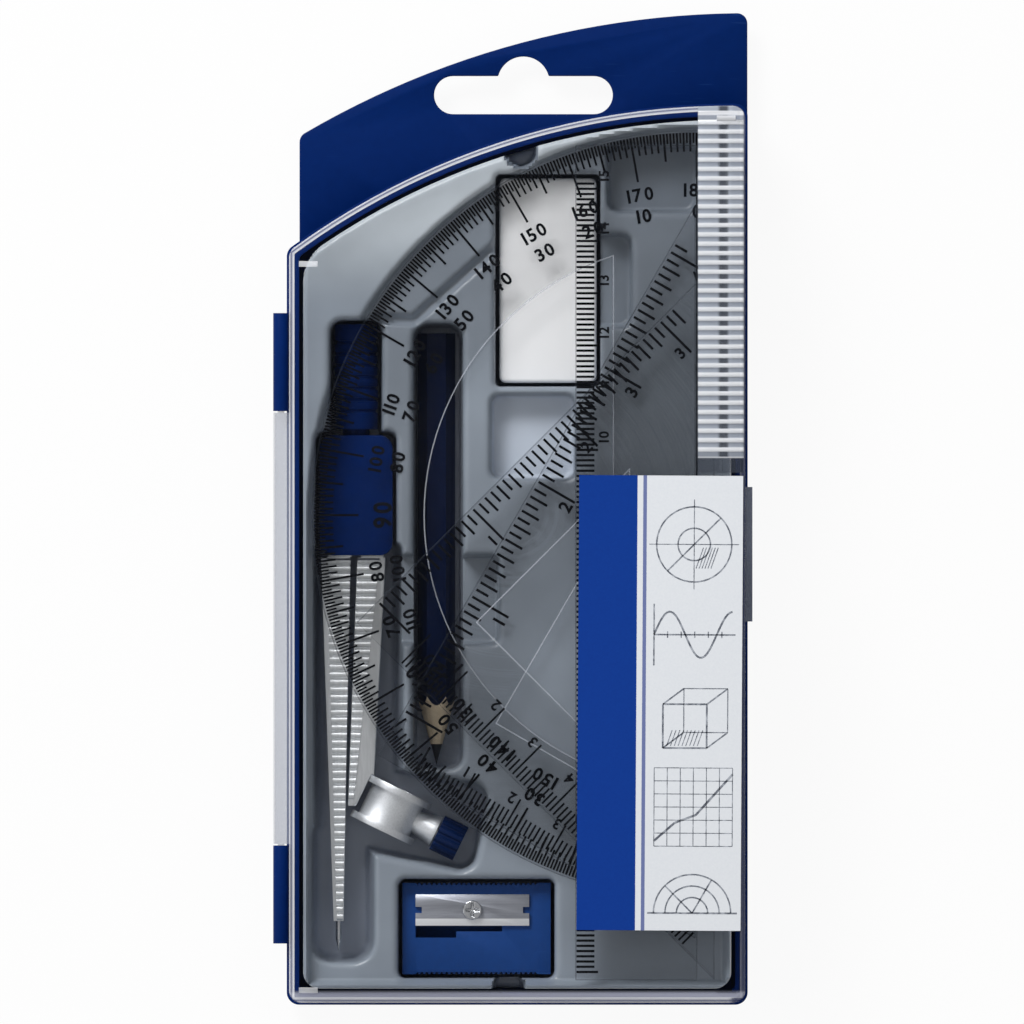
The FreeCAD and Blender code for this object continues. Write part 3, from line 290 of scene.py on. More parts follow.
class Effects:
    """Effects that more than one finish uses, each built once."""

    @staticmethod
    def start(name: str, inputs: Sequence[str], outputs: Sequence[str]) -> tuple[Graph, dict, dict]:
        """Begin a node group.

        Args:
            name: Its name.
            inputs: Names of its value inputs.
            outputs: Names of its value outputs.

        Returns:
            Its graph, its input sockets and its output sockets by name.
        """
        tree = bpy.data.node_groups.new(name, "ShaderNodeTree")
        for label in inputs:
            tree.interface.new_socket(name=label, in_out="INPUT", socket_type="NodeSocketFloat")
        for label in outputs:
            tree.interface.new_socket(name=label, in_out="OUTPUT", socket_type="NodeSocketFloat")
        graph = Graph(tree)
        entry = graph.add("NodeGroupInput")
        leave = graph.add("NodeGroupOutput")
        return graph, {s.name: s for s in entry.outputs}, {s.name: s for s in leave.inputs}

    @classmethod
    def grain(cls) -> bpy.types.NodeTree:
        """Build the fine uneven tone and texture of a moulded surface.

        Returns:
            The node group.
        """
        known = bpy.data.node_groups.get("moulding_grain")
        if known:
            return known
        graph, given, out = cls.start("moulding_grain", ("Scale", "Amount"), ("Tone", "Height"))
        broad = graph.noise(given["Scale"], 3.0)
        fine = graph.noise(graph.math("MULTIPLY", given["Scale"], 14.0), 1.0)
        swing = graph.math("MULTIPLY", graph.math("SUBTRACT", broad, 0.5), given["Amount"])
        graph.feed(out["Tone"], graph.math("ADD", swing, 1.0))
        graph.feed(out["Height"], graph.math("ADD", graph.math("MULTIPLY", fine, 0.6), broad))
        return graph.tree

    @classmethod
    def scuffs(cls) -> bpy.types.NodeTree:
        """Build hair-fine handling marks that run in two directions.

        Returns:
            The node group.
        """
        known = bpy.data.node_groups.get("handling_scuffs")
        if known:
            return known
        graph, given, out = cls.start("handling_scuffs", ("Scale", "Amount"), ("Mask",))
        marks = None
        for turn in (24.0, -51.0):
            hair = graph.noise(given["Scale"], 2.0, (0.06, 1.0, 1.0), turn)
            line = graph.span(hair, 0.66, 0.74)
            marks = line if marks is None else graph.math("MAXIMUM", marks, line)
        patch = graph.span(graph.noise(60.0, 1.0), 0.45, 0.75)
        graph.feed(out["Mask"], graph.math("MULTIPLY", graph.math("MULTIPLY", marks, patch), given["Amount"]))
        return graph.tree


@dataclass(frozen=True)
class Finish:
    """A surface finish, made into a material the first time that a piece asks for it."""

    name: str

    def material(self) -> bpy.types.Material:
        """Give the material, made once.

        Returns:
            The material.
        """
        known = bpy.data.materials.get(self.name)
        if known:
            return known
        material = bpy.data.materials.new(self.name)
        material.use_nodes = True
        graph = Graph(material.node_tree)
        shader = next(n for n in material.node_tree.nodes if n.type == "BSDF_PRINCIPLED")
        self.dress(graph, shader)
        return material

    def dress(self, graph: Graph, shader: bpy.types.Node) -> None:
        """Set the shader's sockets."""
        raise NotImplementedError


@dataclass(frozen=True)
class Moulded(Finish):
    """Coloured plastic from a polished or textured mould."""

    colour: tuple[int, int, int]
    roughness: float = 0.3
    gloss: float = 0.35
    grain_scale: float = 700.0
    grain_depth: float = 0.006
    uneven: float = 0.22
    worn: int = 26

    def dress(self, graph: Graph, shader: bpy.types.Node) -> None:
        """Set an uneven colour, a fine grain and faint scuffs.

        Args:
            graph: Node tree of the material.
            shader: Its Principled shader.
        """
        grain = graph.shared(Effects.grain(), Scale=self.grain_scale, Amount=self.uneven)
        scuffs = graph.shared(Effects.scuffs(), Scale=1500.0, Amount=0.5)["Mask"]
        shade = graph.scaled(tone(*self.colour)[:3], grain["Tone"])
        lighter = tone(*(min(255, part + self.worn) for part in self.colour))
        graph.feed(shader.inputs["Base Color"], graph.mix(scuffs, shade, lighter))
        rough = graph.math("MULTIPLY", grain["Tone"], self.roughness)
        graph.feed(shader.inputs["Roughness"], graph.math("ADD", rough, graph.math("MULTIPLY", scuffs, 0.15)))
        shader.inputs["Specular IOR Level"].default_value = self.gloss
        graph.feed(shader.inputs["Normal"], graph.bump(grain["Height"], 0.35, self.grain_depth))


@dataclass(frozen=True)
class TrayPlastic(Finish):
    """Grey satin sheet, formed over a mould, with painted fill light that makes its deep hollows paler,
    painted light in the low finger recess and a painted highlight on the upper rim at the top end.
    """

    land: tuple[int, int, int] = (134, 143, 154)
    # deep: paler colour of the deep hollows' floors, painted fill light that lifts their shade
    deep: tuple[int, int, int] = (164, 172, 187)
    # rim: lighter colour of the upper rim toward the top end, a painted highlight
    rim: tuple[int, int, int] = (184, 192, 199)
    land_z: float = 12.0
    deep_z: float = 4.6
    rim_z: float = 20.4
    rim_y: float = 58.0
    # scoop: paler colour of the low finger recess's floor, painted light
    scoop: tuple[int, int, int] = (186, 195, 208)
    scoop_z: float = 13.1
    scoop_x: float = 3.0
    scoop_y: float = 22.5
    scoop_reach: float = 8.0

    def dress(self, graph: Graph, shader: bpy.types.Node) -> None:
        """Set the colour by depth and place, with painted fill light in the hollows, painted light in the low
        finger recess, a painted highlight on the upper rim, a soft mottle and a satin grain.

        Args:
            graph: Node tree of the material.
            shader: Its Principled shader.
        """
        across, along, height = graph.axes()
        # share of the painted fill light, growing with depth below the land
        drawn = graph.span(height, self.land_z, self.deep_z)
        # painted light on the floor of the low finger recess
        off_x = graph.math("ABSOLUTE", graph.math("SUBTRACT", across, self.scoop_x))
        off_y = graph.math("ABSOLUTE", graph.math("SUBTRACT", along, self.scoop_y))
        off_scoop = graph.math("MAXIMUM", off_x, off_y)
        scoop_fill_light = graph.math("MULTIPLY", graph.span(off_scoop, self.scoop_reach + 0.3, self.scoop_reach),
                             graph.span(height, self.scoop_z + 3.0, self.scoop_z + 0.5))
        grain = graph.shared(Effects.grain(), Scale=60.0, Amount=0.45)
        # painted highlight on the upper rim, fading in toward the top end
        raised = graph.math("MULTIPLY", graph.span(height, self.rim_z - 0.9, self.rim_z),
                            graph.span(along, self.rim_y - 12, self.rim_y + 8))
        land = graph.mix(raised, tone(*self.land), tone(*self.rim))
        land = graph.mix(scoop_fill_light, land, tone(*self.scoop))
        body = graph.mix(drawn, land, tone(*self.deep))
        graph.feed(shader.inputs["Base Color"], graph.scaled(body, grain["Tone"]))
        graph.feed(shader.inputs["Roughness"], graph.math("MULTIPLY", grain["Tone"], 0.3))
        shader.inputs["Specular IOR Level"].default_value = 0.45
        graph.feed(shader.inputs["Normal"], graph.bump(grain["Height"], 0.18, 0.02))


@dataclass(frozen=True)
class ClearPlastic(Finish):
    """Clear moulded sheet that veils a little of what lies under it."""

    tint: tuple[int, int, int] = (12, 14, 18)
    veil: float = 0.058
    rim: float = 0.2
    roughness: float = 0.1
    scuffed: float = 0.14
    gloss: float = 0.06

    def dress(self, graph: Graph, shader: bpy.types.Node) -> None:
        """Set a tinted veil that thickens where the sheet is seen edge-on.

        Args:
            graph: Node tree of the material.
            shader: Its Principled shader.
        """
        scuffs = graph.shared(Effects.scuffs(), Scale=1100.0, Amount=self.scuffed)["Mask"]
        grain = graph.shared(Effects.grain(), Scale=90.0, Amount=0.2)
        graph.feed(shader.inputs["Base Color"], graph.mix(scuffs, tone(*self.tint), tone(226, 230, 236)))
        weight = graph.add("ShaderNodeLayerWeight")
        weight.inputs["Blend"].default_value = 0.35
        edge_on = graph.math("POWER", weight.outputs["Facing"], 2.5)
        veil = graph.math("ADD", graph.math("MULTIPLY", grain["Tone"], self.veil),
                          graph.math("MULTIPLY", edge_on, self.rim))
        marked = graph.math("ADD", veil, graph.math("MULTIPLY", scuffs, 0.06))
        graph.feed(shader.inputs["Alpha"], self.cover(graph, shader, marked))
        graph.feed(shader.inputs["Roughness"], graph.math("MULTIPLY", grain["Tone"], self.roughness))
        shader.inputs["Specular IOR Level"].default_value = self.gloss

    def cover(self, graph: Graph, shader: bpy.types.Node, veil: bpy.types.NodeSocket) -> bpy.types.NodeSocket:
        """Give the alpha for a veil; finishes that add to it change this."""
        return graph.math("MINIMUM", veil, 0.95)


@dataclass(frozen=True)
class LidPlastic(ClearPlastic):
    """Clear lid: a milky haze and highlight lines are painted on its walls, strongest on their level faces so
    that they show from above; a grip strip with painted highlights and shade crosses one side; the knuckle
    gets a painted grey haze and the feet painted highlights.
    """

    half_width: float = 42.75
    low: float = -84.95
    arc_x: float = 40.75
    arc_y: float = -55.99
    arc_radius: float = 140.95
    grip_left: float = 34.6
    grip_right: float = 43.3
    grip_top: float = 82.71
    grip_low: float = 19.2
    grip_pitch: float = 1.79
    strip_low: float = 15.6
    strip_middle: float = 39.5
    shade: float = 0.35
    upright: float = 0.35
    latch_x: tuple[float, float] = (40.0, 42.0)
    strip_z: tuple[float, float] = (26.7, 26.75)
    foot_z: tuple[float, float] = (26.78, 26.86)

    def past_walls(self, graph: Graph, x: Input, y: Input) -> tuple[bpy.types.NodeSocket, ...]:
        """Give the distances past the inner faces of the walls.

        Args:
            graph: Node tree of the material.
            x: Place across.
            y: Place along.

        Returns:
            The distance past the nearest wall and the distance past the bottom one.
        """
        side = graph.math("SUBTRACT", graph.math("ABSOLUTE", x), self.half_width)
        bottom = graph.math("SUBTRACT", self.low, y)
        reach = graph.reach(graph.math("SUBTRACT", x, self.arc_x), graph.math("SUBTRACT", y, self.arc_y))
        arch = graph.math("SUBTRACT", reach, self.arc_radius)
        return graph.math("MAXIMUM", graph.math("MAXIMUM", side, bottom), arch), bottom

    def strip_colour(self, graph: Graph, x: Input, y: Input) -> bpy.types.NodeSocket:
        """Give the colour of the ribbed strip: painted highlights on the crests, painted shade in the valleys
        and a painted shadow line down the middle.

        Args:
            graph: Node tree of the material.
            x: Place across.
            y: Place along.

        Returns:
            The colour's socket.
        """
        turns = graph.math("DIVIDE", graph.math("SUBTRACT", self.grip_top, y), self.grip_pitch)
        wave = graph.math("COSINE", graph.math("MULTIPLY", turns, math.tau))
        # painted highlight on each rib's crest and painted shade in the valleys
        crest_highlight = graph.span(wave, -0.35, 0.55)
        valley_shade = graph.math("SUBTRACT", 1.0, crest_highlight)
        # painted shadow line down the middle of the strip
        middle = graph.span(graph.math("ABSOLUTE", graph.math("SUBTRACT", x, self.strip_middle)), 1.3, 0.5)
        strip = graph.mix(crest_highlight, tone(168, 175, 187), tone(244, 246, 250))
        dark = graph.math("MULTIPLY", graph.math("MULTIPLY", valley_shade, middle), 0.85)
        return graph.mix(dark, strip, tone(44, 48, 58))

    def cover(self, graph: Graph, shader: bpy.types.Node, veil: bpy.types.NodeSocket) -> bpy.types.NodeSocket:
        """Add the walls' painted haze and highlight lines, the knuckle's painted haze, the grip strip's
        painted highlights and shade, and the feet's painted highlights to the veil and the colour.

        Args:
            graph: Node tree of the material.
            shader: Its Principled shader.
            veil: Alpha of the plain sheet.

        Returns:
            The alpha's socket.
        """
        x, y, z = graph.axes()
        level = graph.level()
        outside, bottom = self.past_walls(graph, x, y)
        # the walls get a painted milky haze, and painted highlight lines run along their inner and outer
        # faces
        wall = graph.span(outside, -0.2, 0.0)
        inner_highlight_line = graph.math("MULTIPLY", wall, graph.span(outside, 0.42, 0.22))
        outer_highlight_line = graph.math("MULTIPLY", graph.span(outside, 0.66, 0.78), graph.span(outside, 1.06, 0.98))
        latch_side = graph.span(x, *self.latch_x)
        lines = graph.math("MULTIPLY", graph.math("MAXIMUM", inner_highlight_line, outer_highlight_line),
                           graph.span(latch_side, 0.0, 1.0, 1.0, 0.25))
        # the parts outside the walls (hinge knuckle, latch) get a painted grey haze
        knuckle_haze = graph.span(outside, 0.98, 1.06)
        bottom_wall_haze = graph.math("MULTIPLY", graph.span(bottom, -1.7, -0.7), graph.span(bottom, 0.1, -0.1))
        in_strip = graph.math("MULTIPLY", graph.span(x, self.grip_left - 0.1, self.grip_left + 0.1),
                              graph.span(x, self.grip_right + 0.25, self.grip_right - 0.05))
        on_face = graph.math("MAXIMUM", level, graph.span(z, *self.strip_z))
        in_strip = graph.math("MULTIPLY", in_strip, on_face)
        ribbed = graph.math("MULTIPLY", in_strip, graph.span(y, self.grip_low - 0.9, self.grip_low - 0.6))
        clear_of_ribs = graph.math("MAXIMUM", graph.math("SUBTRACT", 1.0, in_strip),
                                   graph.span(y, self.grip_top + 0.15, self.grip_top + 0.25))
        # the feet get a near-white colour: painted highlights
        foot = graph.math("MULTIPLY", graph.span(z, *self.foot_z), clear_of_ribs)
        plain = graph.math("MULTIPLY", in_strip, graph.span(y, self.strip_low - 0.1, self.strip_low + 0.1))
        colour = shader.inputs["Base Color"].links[0].from_socket
        # layers: painted wall haze, painted highlight lines, painted knuckle haze, the strip's plain part,
        # the strip's painted light, painted highlights on the feet
        for share, layer in ((graph.math("MAXIMUM", wall, bottom_wall_haze), tone(176, 179, 196)),
                             (lines, tone(236, 238, 243)), (knuckle_haze, tone(158, 164, 178)),
                             (plain, tone(74, 80, 92)), (ribbed, self.strip_colour(graph, x, y)),
                             (foot, tone(238, 240, 245))):
            colour = graph.mix(share, colour, layer)
        graph.feed(shader.inputs["Base Color"], colour)
        # alpha of the painted haze on the walls and the knuckle
        painted_wall_haze = graph.math("MULTIPLY", wall, graph.span(latch_side, 0.0, 1.0, 0.28, 0.06))
        painted_wall_haze = graph.math("MAXIMUM", painted_wall_haze, graph.math("MULTIPLY", knuckle_haze, 0.4))
        total = graph.math("ADD", veil, graph.math("MAXIMUM", painted_wall_haze, graph.math("MULTIPLY", bottom_wall_haze, 0.5)))
        total = graph.math("ADD", total, graph.math("MULTIPLY", lines, 0.22))
        total = graph.math("MULTIPLY", total, graph.span(level, 0.0, 1.0, self.upright, 1.0))
        for share, alpha in ((foot, 0.5), (plain, 0.36), (ribbed, 0.24)):
            total = graph.math("ADD", total, graph.math("MULTIPLY", share, alpha))
        path = graph.add("ShaderNodeLightPath")
        shade = graph.span(path.outputs["Is Shadow Ray"], 0.0, 1.0, 1.0, self.shade)
        return graph.math("MULTIPLY", graph.math("MINIMUM", total, 0.95), shade)


@dataclass(frozen=True)
class Metal(Finish):
    """Plated or ground metal with a fine directional grain."""

    colour: tuple[int, int, int] = (205, 209, 213)
    roughness: float = 0.34
    stretch: tuple[float, float, float] = (1.0, 0.1, 1.0)
    bright_below: Optional[float] = None

    def dress(self, graph: Graph, shader: bpy.types.Node) -> None:
        """Set the colour, the grain and, where asked for, a brighter ground strip.

        Args:
            graph: Node tree of the material.
            shader: Its Principled shader.
        """
        streak = graph.noise(2600.0, 3.0, self.stretch)
        grain = graph.shared(Effects.grain(), Scale=420.0, Amount=0.16)
        darker = tone(*(max(0, part - 34) for part in self.colour))
        colour = graph.mix(streak, darker, tone(*self.colour))
        rough = graph.math("ADD", graph.math("MULTIPLY", streak, 0.12), self.roughness - 0.06)
        if self.bright_below is not None:
            ground = graph.span(graph.axes()[1], self.bright_below + 0.08, self.bright_below - 0.08)
            colour = graph.mix(ground, colour, tone(236, 238, 241))
            rough = graph.math("ADD", rough, graph.math("MULTIPLY", ground, 0.12))
        graph.feed(shader.inputs["Base Color"], colour)
        graph.feed(shader.inputs["Roughness"], graph.math("MULTIPLY", rough, grain["Tone"]))
        shader.inputs["Metallic"].default_value = 1.0
        graph.feed(shader.inputs["Normal"], graph.bump(streak, 0.12, 0.01))


@dataclass(frozen=True)
class PencilPaint(Finish):
    """Lacquered pencil whose sharpened cone shows the wood."""

    paint: tuple[int, int, int] = (3, 19, 54)
    wood: tuple[int, int, int] = (244, 228, 200)
    axis_x: float = -15.5
    axis_z: float = 7.417
    tip_y: float = -40.409
    radius: float = 3.6
    cone: float = 12.8

    def dress(self, graph: Graph, shader: bpy.types.Node) -> None:
        """Paint the sides and leave the cut cone bare.

        Args:
            graph: Node tree of the material.
            shader: Its Principled shader.
        """
        x, y, z = graph.axes()
        reach = graph.reach(graph.math("SUBTRACT", x, self.axis_x), graph.math("SUBTRACT", z, self.axis_z))
        cut = graph.math("MULTIPLY", graph.math("SUBTRACT", y, self.tip_y), self.radius / self.cone)
        bare = graph.span(graph.math("SUBTRACT", reach, cut), -0.13, -0.05)
        fibre = graph.noise(900.0, 4.0, (1.0, 0.06, 1.0))
        wood = graph.mix(fibre, tone(214, 190, 158), tone(*self.wood))
        grain = graph.shared(Effects.grain(), Scale=300.0, Amount=0.3)
        lacquer = graph.scaled(tone(*self.paint)[:3], grain["Tone"])
        graph.feed(shader.inputs["Base Color"], graph.mix(bare, lacquer, wood))
        graph.feed(shader.inputs["Roughness"], graph.math("ADD", graph.math("MULTIPLY", bare, 0.4), 0.28))
        shader.inputs["Specular IOR Level"].default_value = 0.1
        graph.feed(shader.inputs["Normal"], graph.bump(fibre, 0.12, 0.02))


@dataclass(frozen=True)
class Rubber(Finish):
    """Soft white eraser with a dusty, slightly uneven face."""

    colour: tuple[int, int, int] = (248, 249, 251)

    def dress(self, graph: Graph, shader: bpy.types.Node) -> None:
        """Set a matt white with faint clouds and specks.

        Args:
            graph: Node tree of the material.
            shader: Its Principled shader.
        """
        grain = graph.shared(Effects.grain(), Scale=140.0, Amount=0.07)
        specks = graph.span(graph.noise(4200.0, 1.0), 0.7, 0.78)
        shade = graph.scaled(tone(*self.colour)[:3], grain["Tone"])
        graph.feed(shader.inputs["Base Color"],
                   graph.mix(graph.math("MULTIPLY", specks, 0.12), shade, tone(176, 180, 188)))
        graph.feed(shader.inputs["Roughness"], graph.math("MULTIPLY", grain["Tone"], 0.62))
        shader.inputs["Specular IOR Level"].default_value = 0.3
        graph.feed(shader.inputs["Normal"], graph.bump(grain["Height"], 0.2, 0.02))


@dataclass(frozen=True)
class LabelPaper(Finish):
    """Coated paper with a printed blue band down one side."""

    middle: tuple[float, float] = (27.3, -28.46)
    tilt: float = 0.35
    half_width: float = 15.7
    band: float = 11.2
    stripe_gap: float = 1.1
    stripe: float = 0.7

    def dress(self, graph: Graph, shader: bpy.types.Node) -> None:
        """Print the band and a thin stripe beside it on white paper.

        Args:
            graph: Node tree of the material.
            shader: Its Principled shader.
        """
        x, y = graph.axes()[:2]
        slope = math.radians(self.tilt)
        from_side = graph.math("MULTIPLY", graph.math("SUBTRACT", x, self.middle[0]), math.cos(slope))
        from_end = graph.math("MULTIPLY", graph.math("SUBTRACT", y, self.middle[1]), -math.sin(slope))
        across = graph.math("ADD", from_side, from_end)
        edge = graph.math("ADD", across, self.half_width)
        band = graph.span(edge, self.band + 0.04, self.band - 0.04)
        start = self.band + self.stripe_gap
        stripe = graph.math("MULTIPLY", graph.span(edge, start - 0.04, start + 0.04),
                            graph.span(edge, start + self.stripe + 0.04, start + self.stripe - 0.04))
        fibre = graph.noise(2400.0, 3.0)
        white = graph.mix(fibre, tone(226, 230, 236), tone(236, 239, 243))
        blue = graph.mix(fibre, tone(2, 52, 140), tone(4, 60, 152))
        inked = graph.mix(graph.math("MAXIMUM", band, graph.math("MULTIPLY", stripe, 0.8)), white, blue)
        graph.feed(shader.inputs["Base Color"], inked)
        graph.feed(shader.inputs["Roughness"], graph.math("ADD", graph.math("MULTIPLY", fibre, 0.1), 0.5))
        shader.inputs["Specular IOR Level"].default_value = 0.14
        graph.feed(shader.inputs["Normal"], graph.bump(fibre, 0.08, 0.01))


@dataclass(frozen=True)
class Ink(Finish):
    """Printed or drawn line whose tone breaks up a little."""

    colour: tuple[int, int, int] = (4, 5, 8)
    pale: tuple[int, int, int] = (17, 19, 26)
    scale: float = 2200.0

    def dress(self, graph: Graph, shader: bpy.types.Node) -> None:
        """Set two tones of the ink in a fine mottle.

        Args:
            graph: Node tree of the material.
            shader: Its Principled shader.
        """
        mottle = graph.span(graph.noise(self.scale, 3.0), 0.35, 0.75)
        graph.feed(shader.inputs["Base Color"], graph.mix(mottle, tone(*self.colour), tone(*self.pale)))
        graph.feed(shader.inputs["Roughness"], graph.math("ADD", graph.math("MULTIPLY", mottle, 0.2), 0.45))
        shader.inputs["Specular IOR Level"].default_value = 0.08


NAVY = Moulded("navy_moulding", (2, 34, 94), 0.46, 0.05)
COMPASS_NAVY = Moulded("compass_navy", (2, 33, 90), 0.3, 0.05)
KNOB_NAVY = Moulded("knob_navy", (6, 28, 68), 0.3, 0.12)
SHARPENER_NAVY = Moulded("sharpener_navy", (16, 60, 124), 0.4, 0.2)
TRAY = TrayPlastic("tray_satin")
PLATE = ClearPlastic("plate_sheet")
# window bevels get a painted highlight; outline bevels get painted shade
PLATE_EDGE_HIGHLIGHT = ClearPlastic("plate_sheet_edge_highlight", (206, 212, 222), 0.3, 0.15, 0.16)
PLATE_RIM_SHADE = ClearPlastic("plate_sheet_rim_shade", (58, 63, 72), 0.22, 0.3, 0.2)
LID = LidPlastic("lid_clear", (70, 75, 84), 0.014, 0.3, 0.07)
LEG_METAL = Metal("leg_plating", (232, 235, 238), 0.42)
CLAMP_METAL = Metal("clamp_casting", (234, 237, 241), 0.5, (1.0, 1.0, 1.0))
STEEL = Metal("bright_steel", (206, 208, 212), 0.26)
BLADE_STEEL = Metal("blade_steel", (176, 179, 188), 0.44, (0.08, 1.0, 1.0), -69.85)
PENCIL = PencilPaint("pencil_lacquer")
GRAPHITE = Moulded("pencil_graphite", (46, 47, 52), 0.42, 0.5)
ERASER = Rubber("eraser_rubber")
PAPER = LabelPaper("label_paper_print")
INK = Ink("scale_ink")
DRAWN = Ink("drawn_line", (96, 101, 112), (176, 181, 190), 900.0)


class Bench:
    """Steps that modelling by hand would take, each on the piece in hand."""

    @staticmethod
    def clear() -> None:
        """Deselect everything."""
        for piece in bpy.context.selected_objects:
            piece.select_set(False)
        bpy.context.view_layer.objects.active = None

    @classmethod
    def take(cls, piece: bpy.types.Object) -> None:
        """Make one piece the only one in hand.

        Args:
            piece: The piece.
        """
        cls.clear()
        piece.select_set(True)
        bpy.context.view_layer.objects.active = piece

    @classmethod
    def edit(cls, piece: bpy.types.Object, *steps: Callable[[], object]) -> None:
        """Run edit-mode steps on the whole of a piece.

        Args:
            piece: The piece.
            *steps: Calls to make with everything selected before each one.
        """
        cls.take(piece)
        bpy.ops.object.mode_set(mode="EDIT")
        for step in steps:
            bpy.ops.mesh.select_all(action="SELECT")
            step()
        bpy.ops.object.mode_set(mode="OBJECT")

    @classmethod
    def smooth(cls, piece: bpy.types.Object, angle: float = 38.0) -> None:
        """Smooth the faces that meet at less than an angle, in degrees."""
        cls.take(piece)
        bpy.ops.object.shade_smooth_by_angle(angle=math.radians(angle))

    @classmethod
    def bevel(cls, piece: bpy.types.Object, width: float, segments: int = 2, slot: int = -1,
              angle: float = 40.0) -> None:
        """Round the sharp edges of a piece.

        Args:
            piece: The piece.
            width: Width of the rounding in millimetres.
            segments: Faces across it.
            slot: Material slot of the new faces, or -1 for the neighbour's.
            angle: Least angle, in degrees, of an edge that counts as sharp.
        """
        cls.take(piece)
        step = piece.modifiers.new("rounding", "BEVEL")
        step.width = width * MM
        step.segments = segments
        step.limit_method = "ANGLE"
        step.angle_limit = math.radians(angle)
        step.material = slot
        bpy.ops.object.modifier_apply(modifier=step.name)

    @classmethod
    def copy(cls, node: str, name: str, *finishes: Finish) -> bpy.types.Object:
        """Copy a solid's mesh as a new piece with merged corners and whole faces.

        Args:
            node: Name of the solid.
            name: Name of the new piece.
            *finishes: Its finishes, the first on every face.

        Returns:
            The piece, which still has to be given to a body.
        """
        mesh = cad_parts[node].data.copy()
        mesh.name = name
        piece = cls.link(name, mesh, *finishes)
        cls.edit(piece, lambda: bpy.ops.mesh.remove_doubles(threshold=1e-6),
                 lambda: bpy.ops.mesh.dissolve_limited(angle_limit=math.radians(0.5)))
        return piece

    @staticmethod
    def link(name: str, mesh: bpy.types.Mesh, *finishes: Finish) -> bpy.types.Object:
        """Put a mesh into the scene with its finishes.

        Args:
            name: Name of the piece.
            mesh: Its mesh.
            *finishes: Its finishes, in the order of its slots.

        Returns:
            The piece.
        """
        mesh.materials.clear()
        for finish in finishes:
            mesh.materials.append(finish.material())
        mesh.polygons.foreach_set("material_index", np.zeros(len(mesh.polygons), np.int32))
        piece = bpy.data.objects.new(name, mesh)
        bpy.context.scene.collection.objects.link(piece)
        return piece

    @classmethod
    def primitive(cls, name: str, finish: Finish, add: Callable[[], object]) -> bpy.types.Object:
        """Add a primitive as the start of a piece.

        Args:
            name: Name of the piece.
            finish: Its finish.
            add: Call that adds the primitive.

        Returns:
            The piece, with its place in its mesh.
        """
        cls.clear()
        add()
        piece = bpy.context.active_object
        piece.name = piece.data.name = name
        piece.data.transform(piece.matrix_world)
        piece.matrix_world = Matrix.Identity(4)
        piece.data.materials.clear()
        piece.data.materials.append(finish.material())
        return piece

    @staticmethod
    def absorb(piece: bpy.types.Object, others: Iterable[bpy.types.Mesh]) -> None:
        """Add other meshes to a piece, as separate shells of the same mesh.

        Args:
            piece: The piece.
            others: Meshes to add.
        """
        made = bmesh.new()
        made.from_mesh(piece.data)
        for other in others:
            made.from_mesh(other)
        made.to_mesh(piece.data)
        made.free()

    @staticmethod
    def hand_over(piece: bpy.types.Object, body: Body, slot: str, *nodes: str) -> None:
        """Give a finished piece to a body and hide the solids that it stands for.

        Args:
            piece: The piece.
            body: Body that it rides on.
            slot: Material slot; not used.
            *nodes: Solids that it replaces.
        """
        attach(piece, body.value)
        if nodes:
            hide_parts(*nodes)
        LOG.info("%s: %d faces on %s", piece.name, len(piece.data.polygons), body.value)

    @classmethod
    def rounded(cls, node: str, name: str, finish: Finish, edge: float, body: Body, slot: str,
                segments: int = 2) -> None:
        """Copy a solid, round and smooth the copy and give it to its body.

        Args:
            node: Name of the solid.
            name: Name of the new piece.
            finish: Its finish.
            edge: Width of the rounding in millimetres.
            body: Body that it rides on.
            slot: Material slot.
            segments: Faces across the rounding.
        """
        piece = cls.copy(node, name, finish)
        cls.bevel(piece, edge, segments)
        cls.smooth(piece)
        cls.hand_over(piece, body, slot, node)

    @staticmethod
    def keep(node: str, finish: Finish) -> None:
        """Keep a solid as it is and give it a finish.

        Args:
            node: Name of the solid.
            finish: Its finish.
        """
        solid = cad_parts[node]
        if solid.material_slots:
            for slot in solid.material_slots:
                slot.material = finish.material()
        else:
            solid.data.materials.append(finish.material())
        LOG.info("%s: kept, %s", node, finish.name)


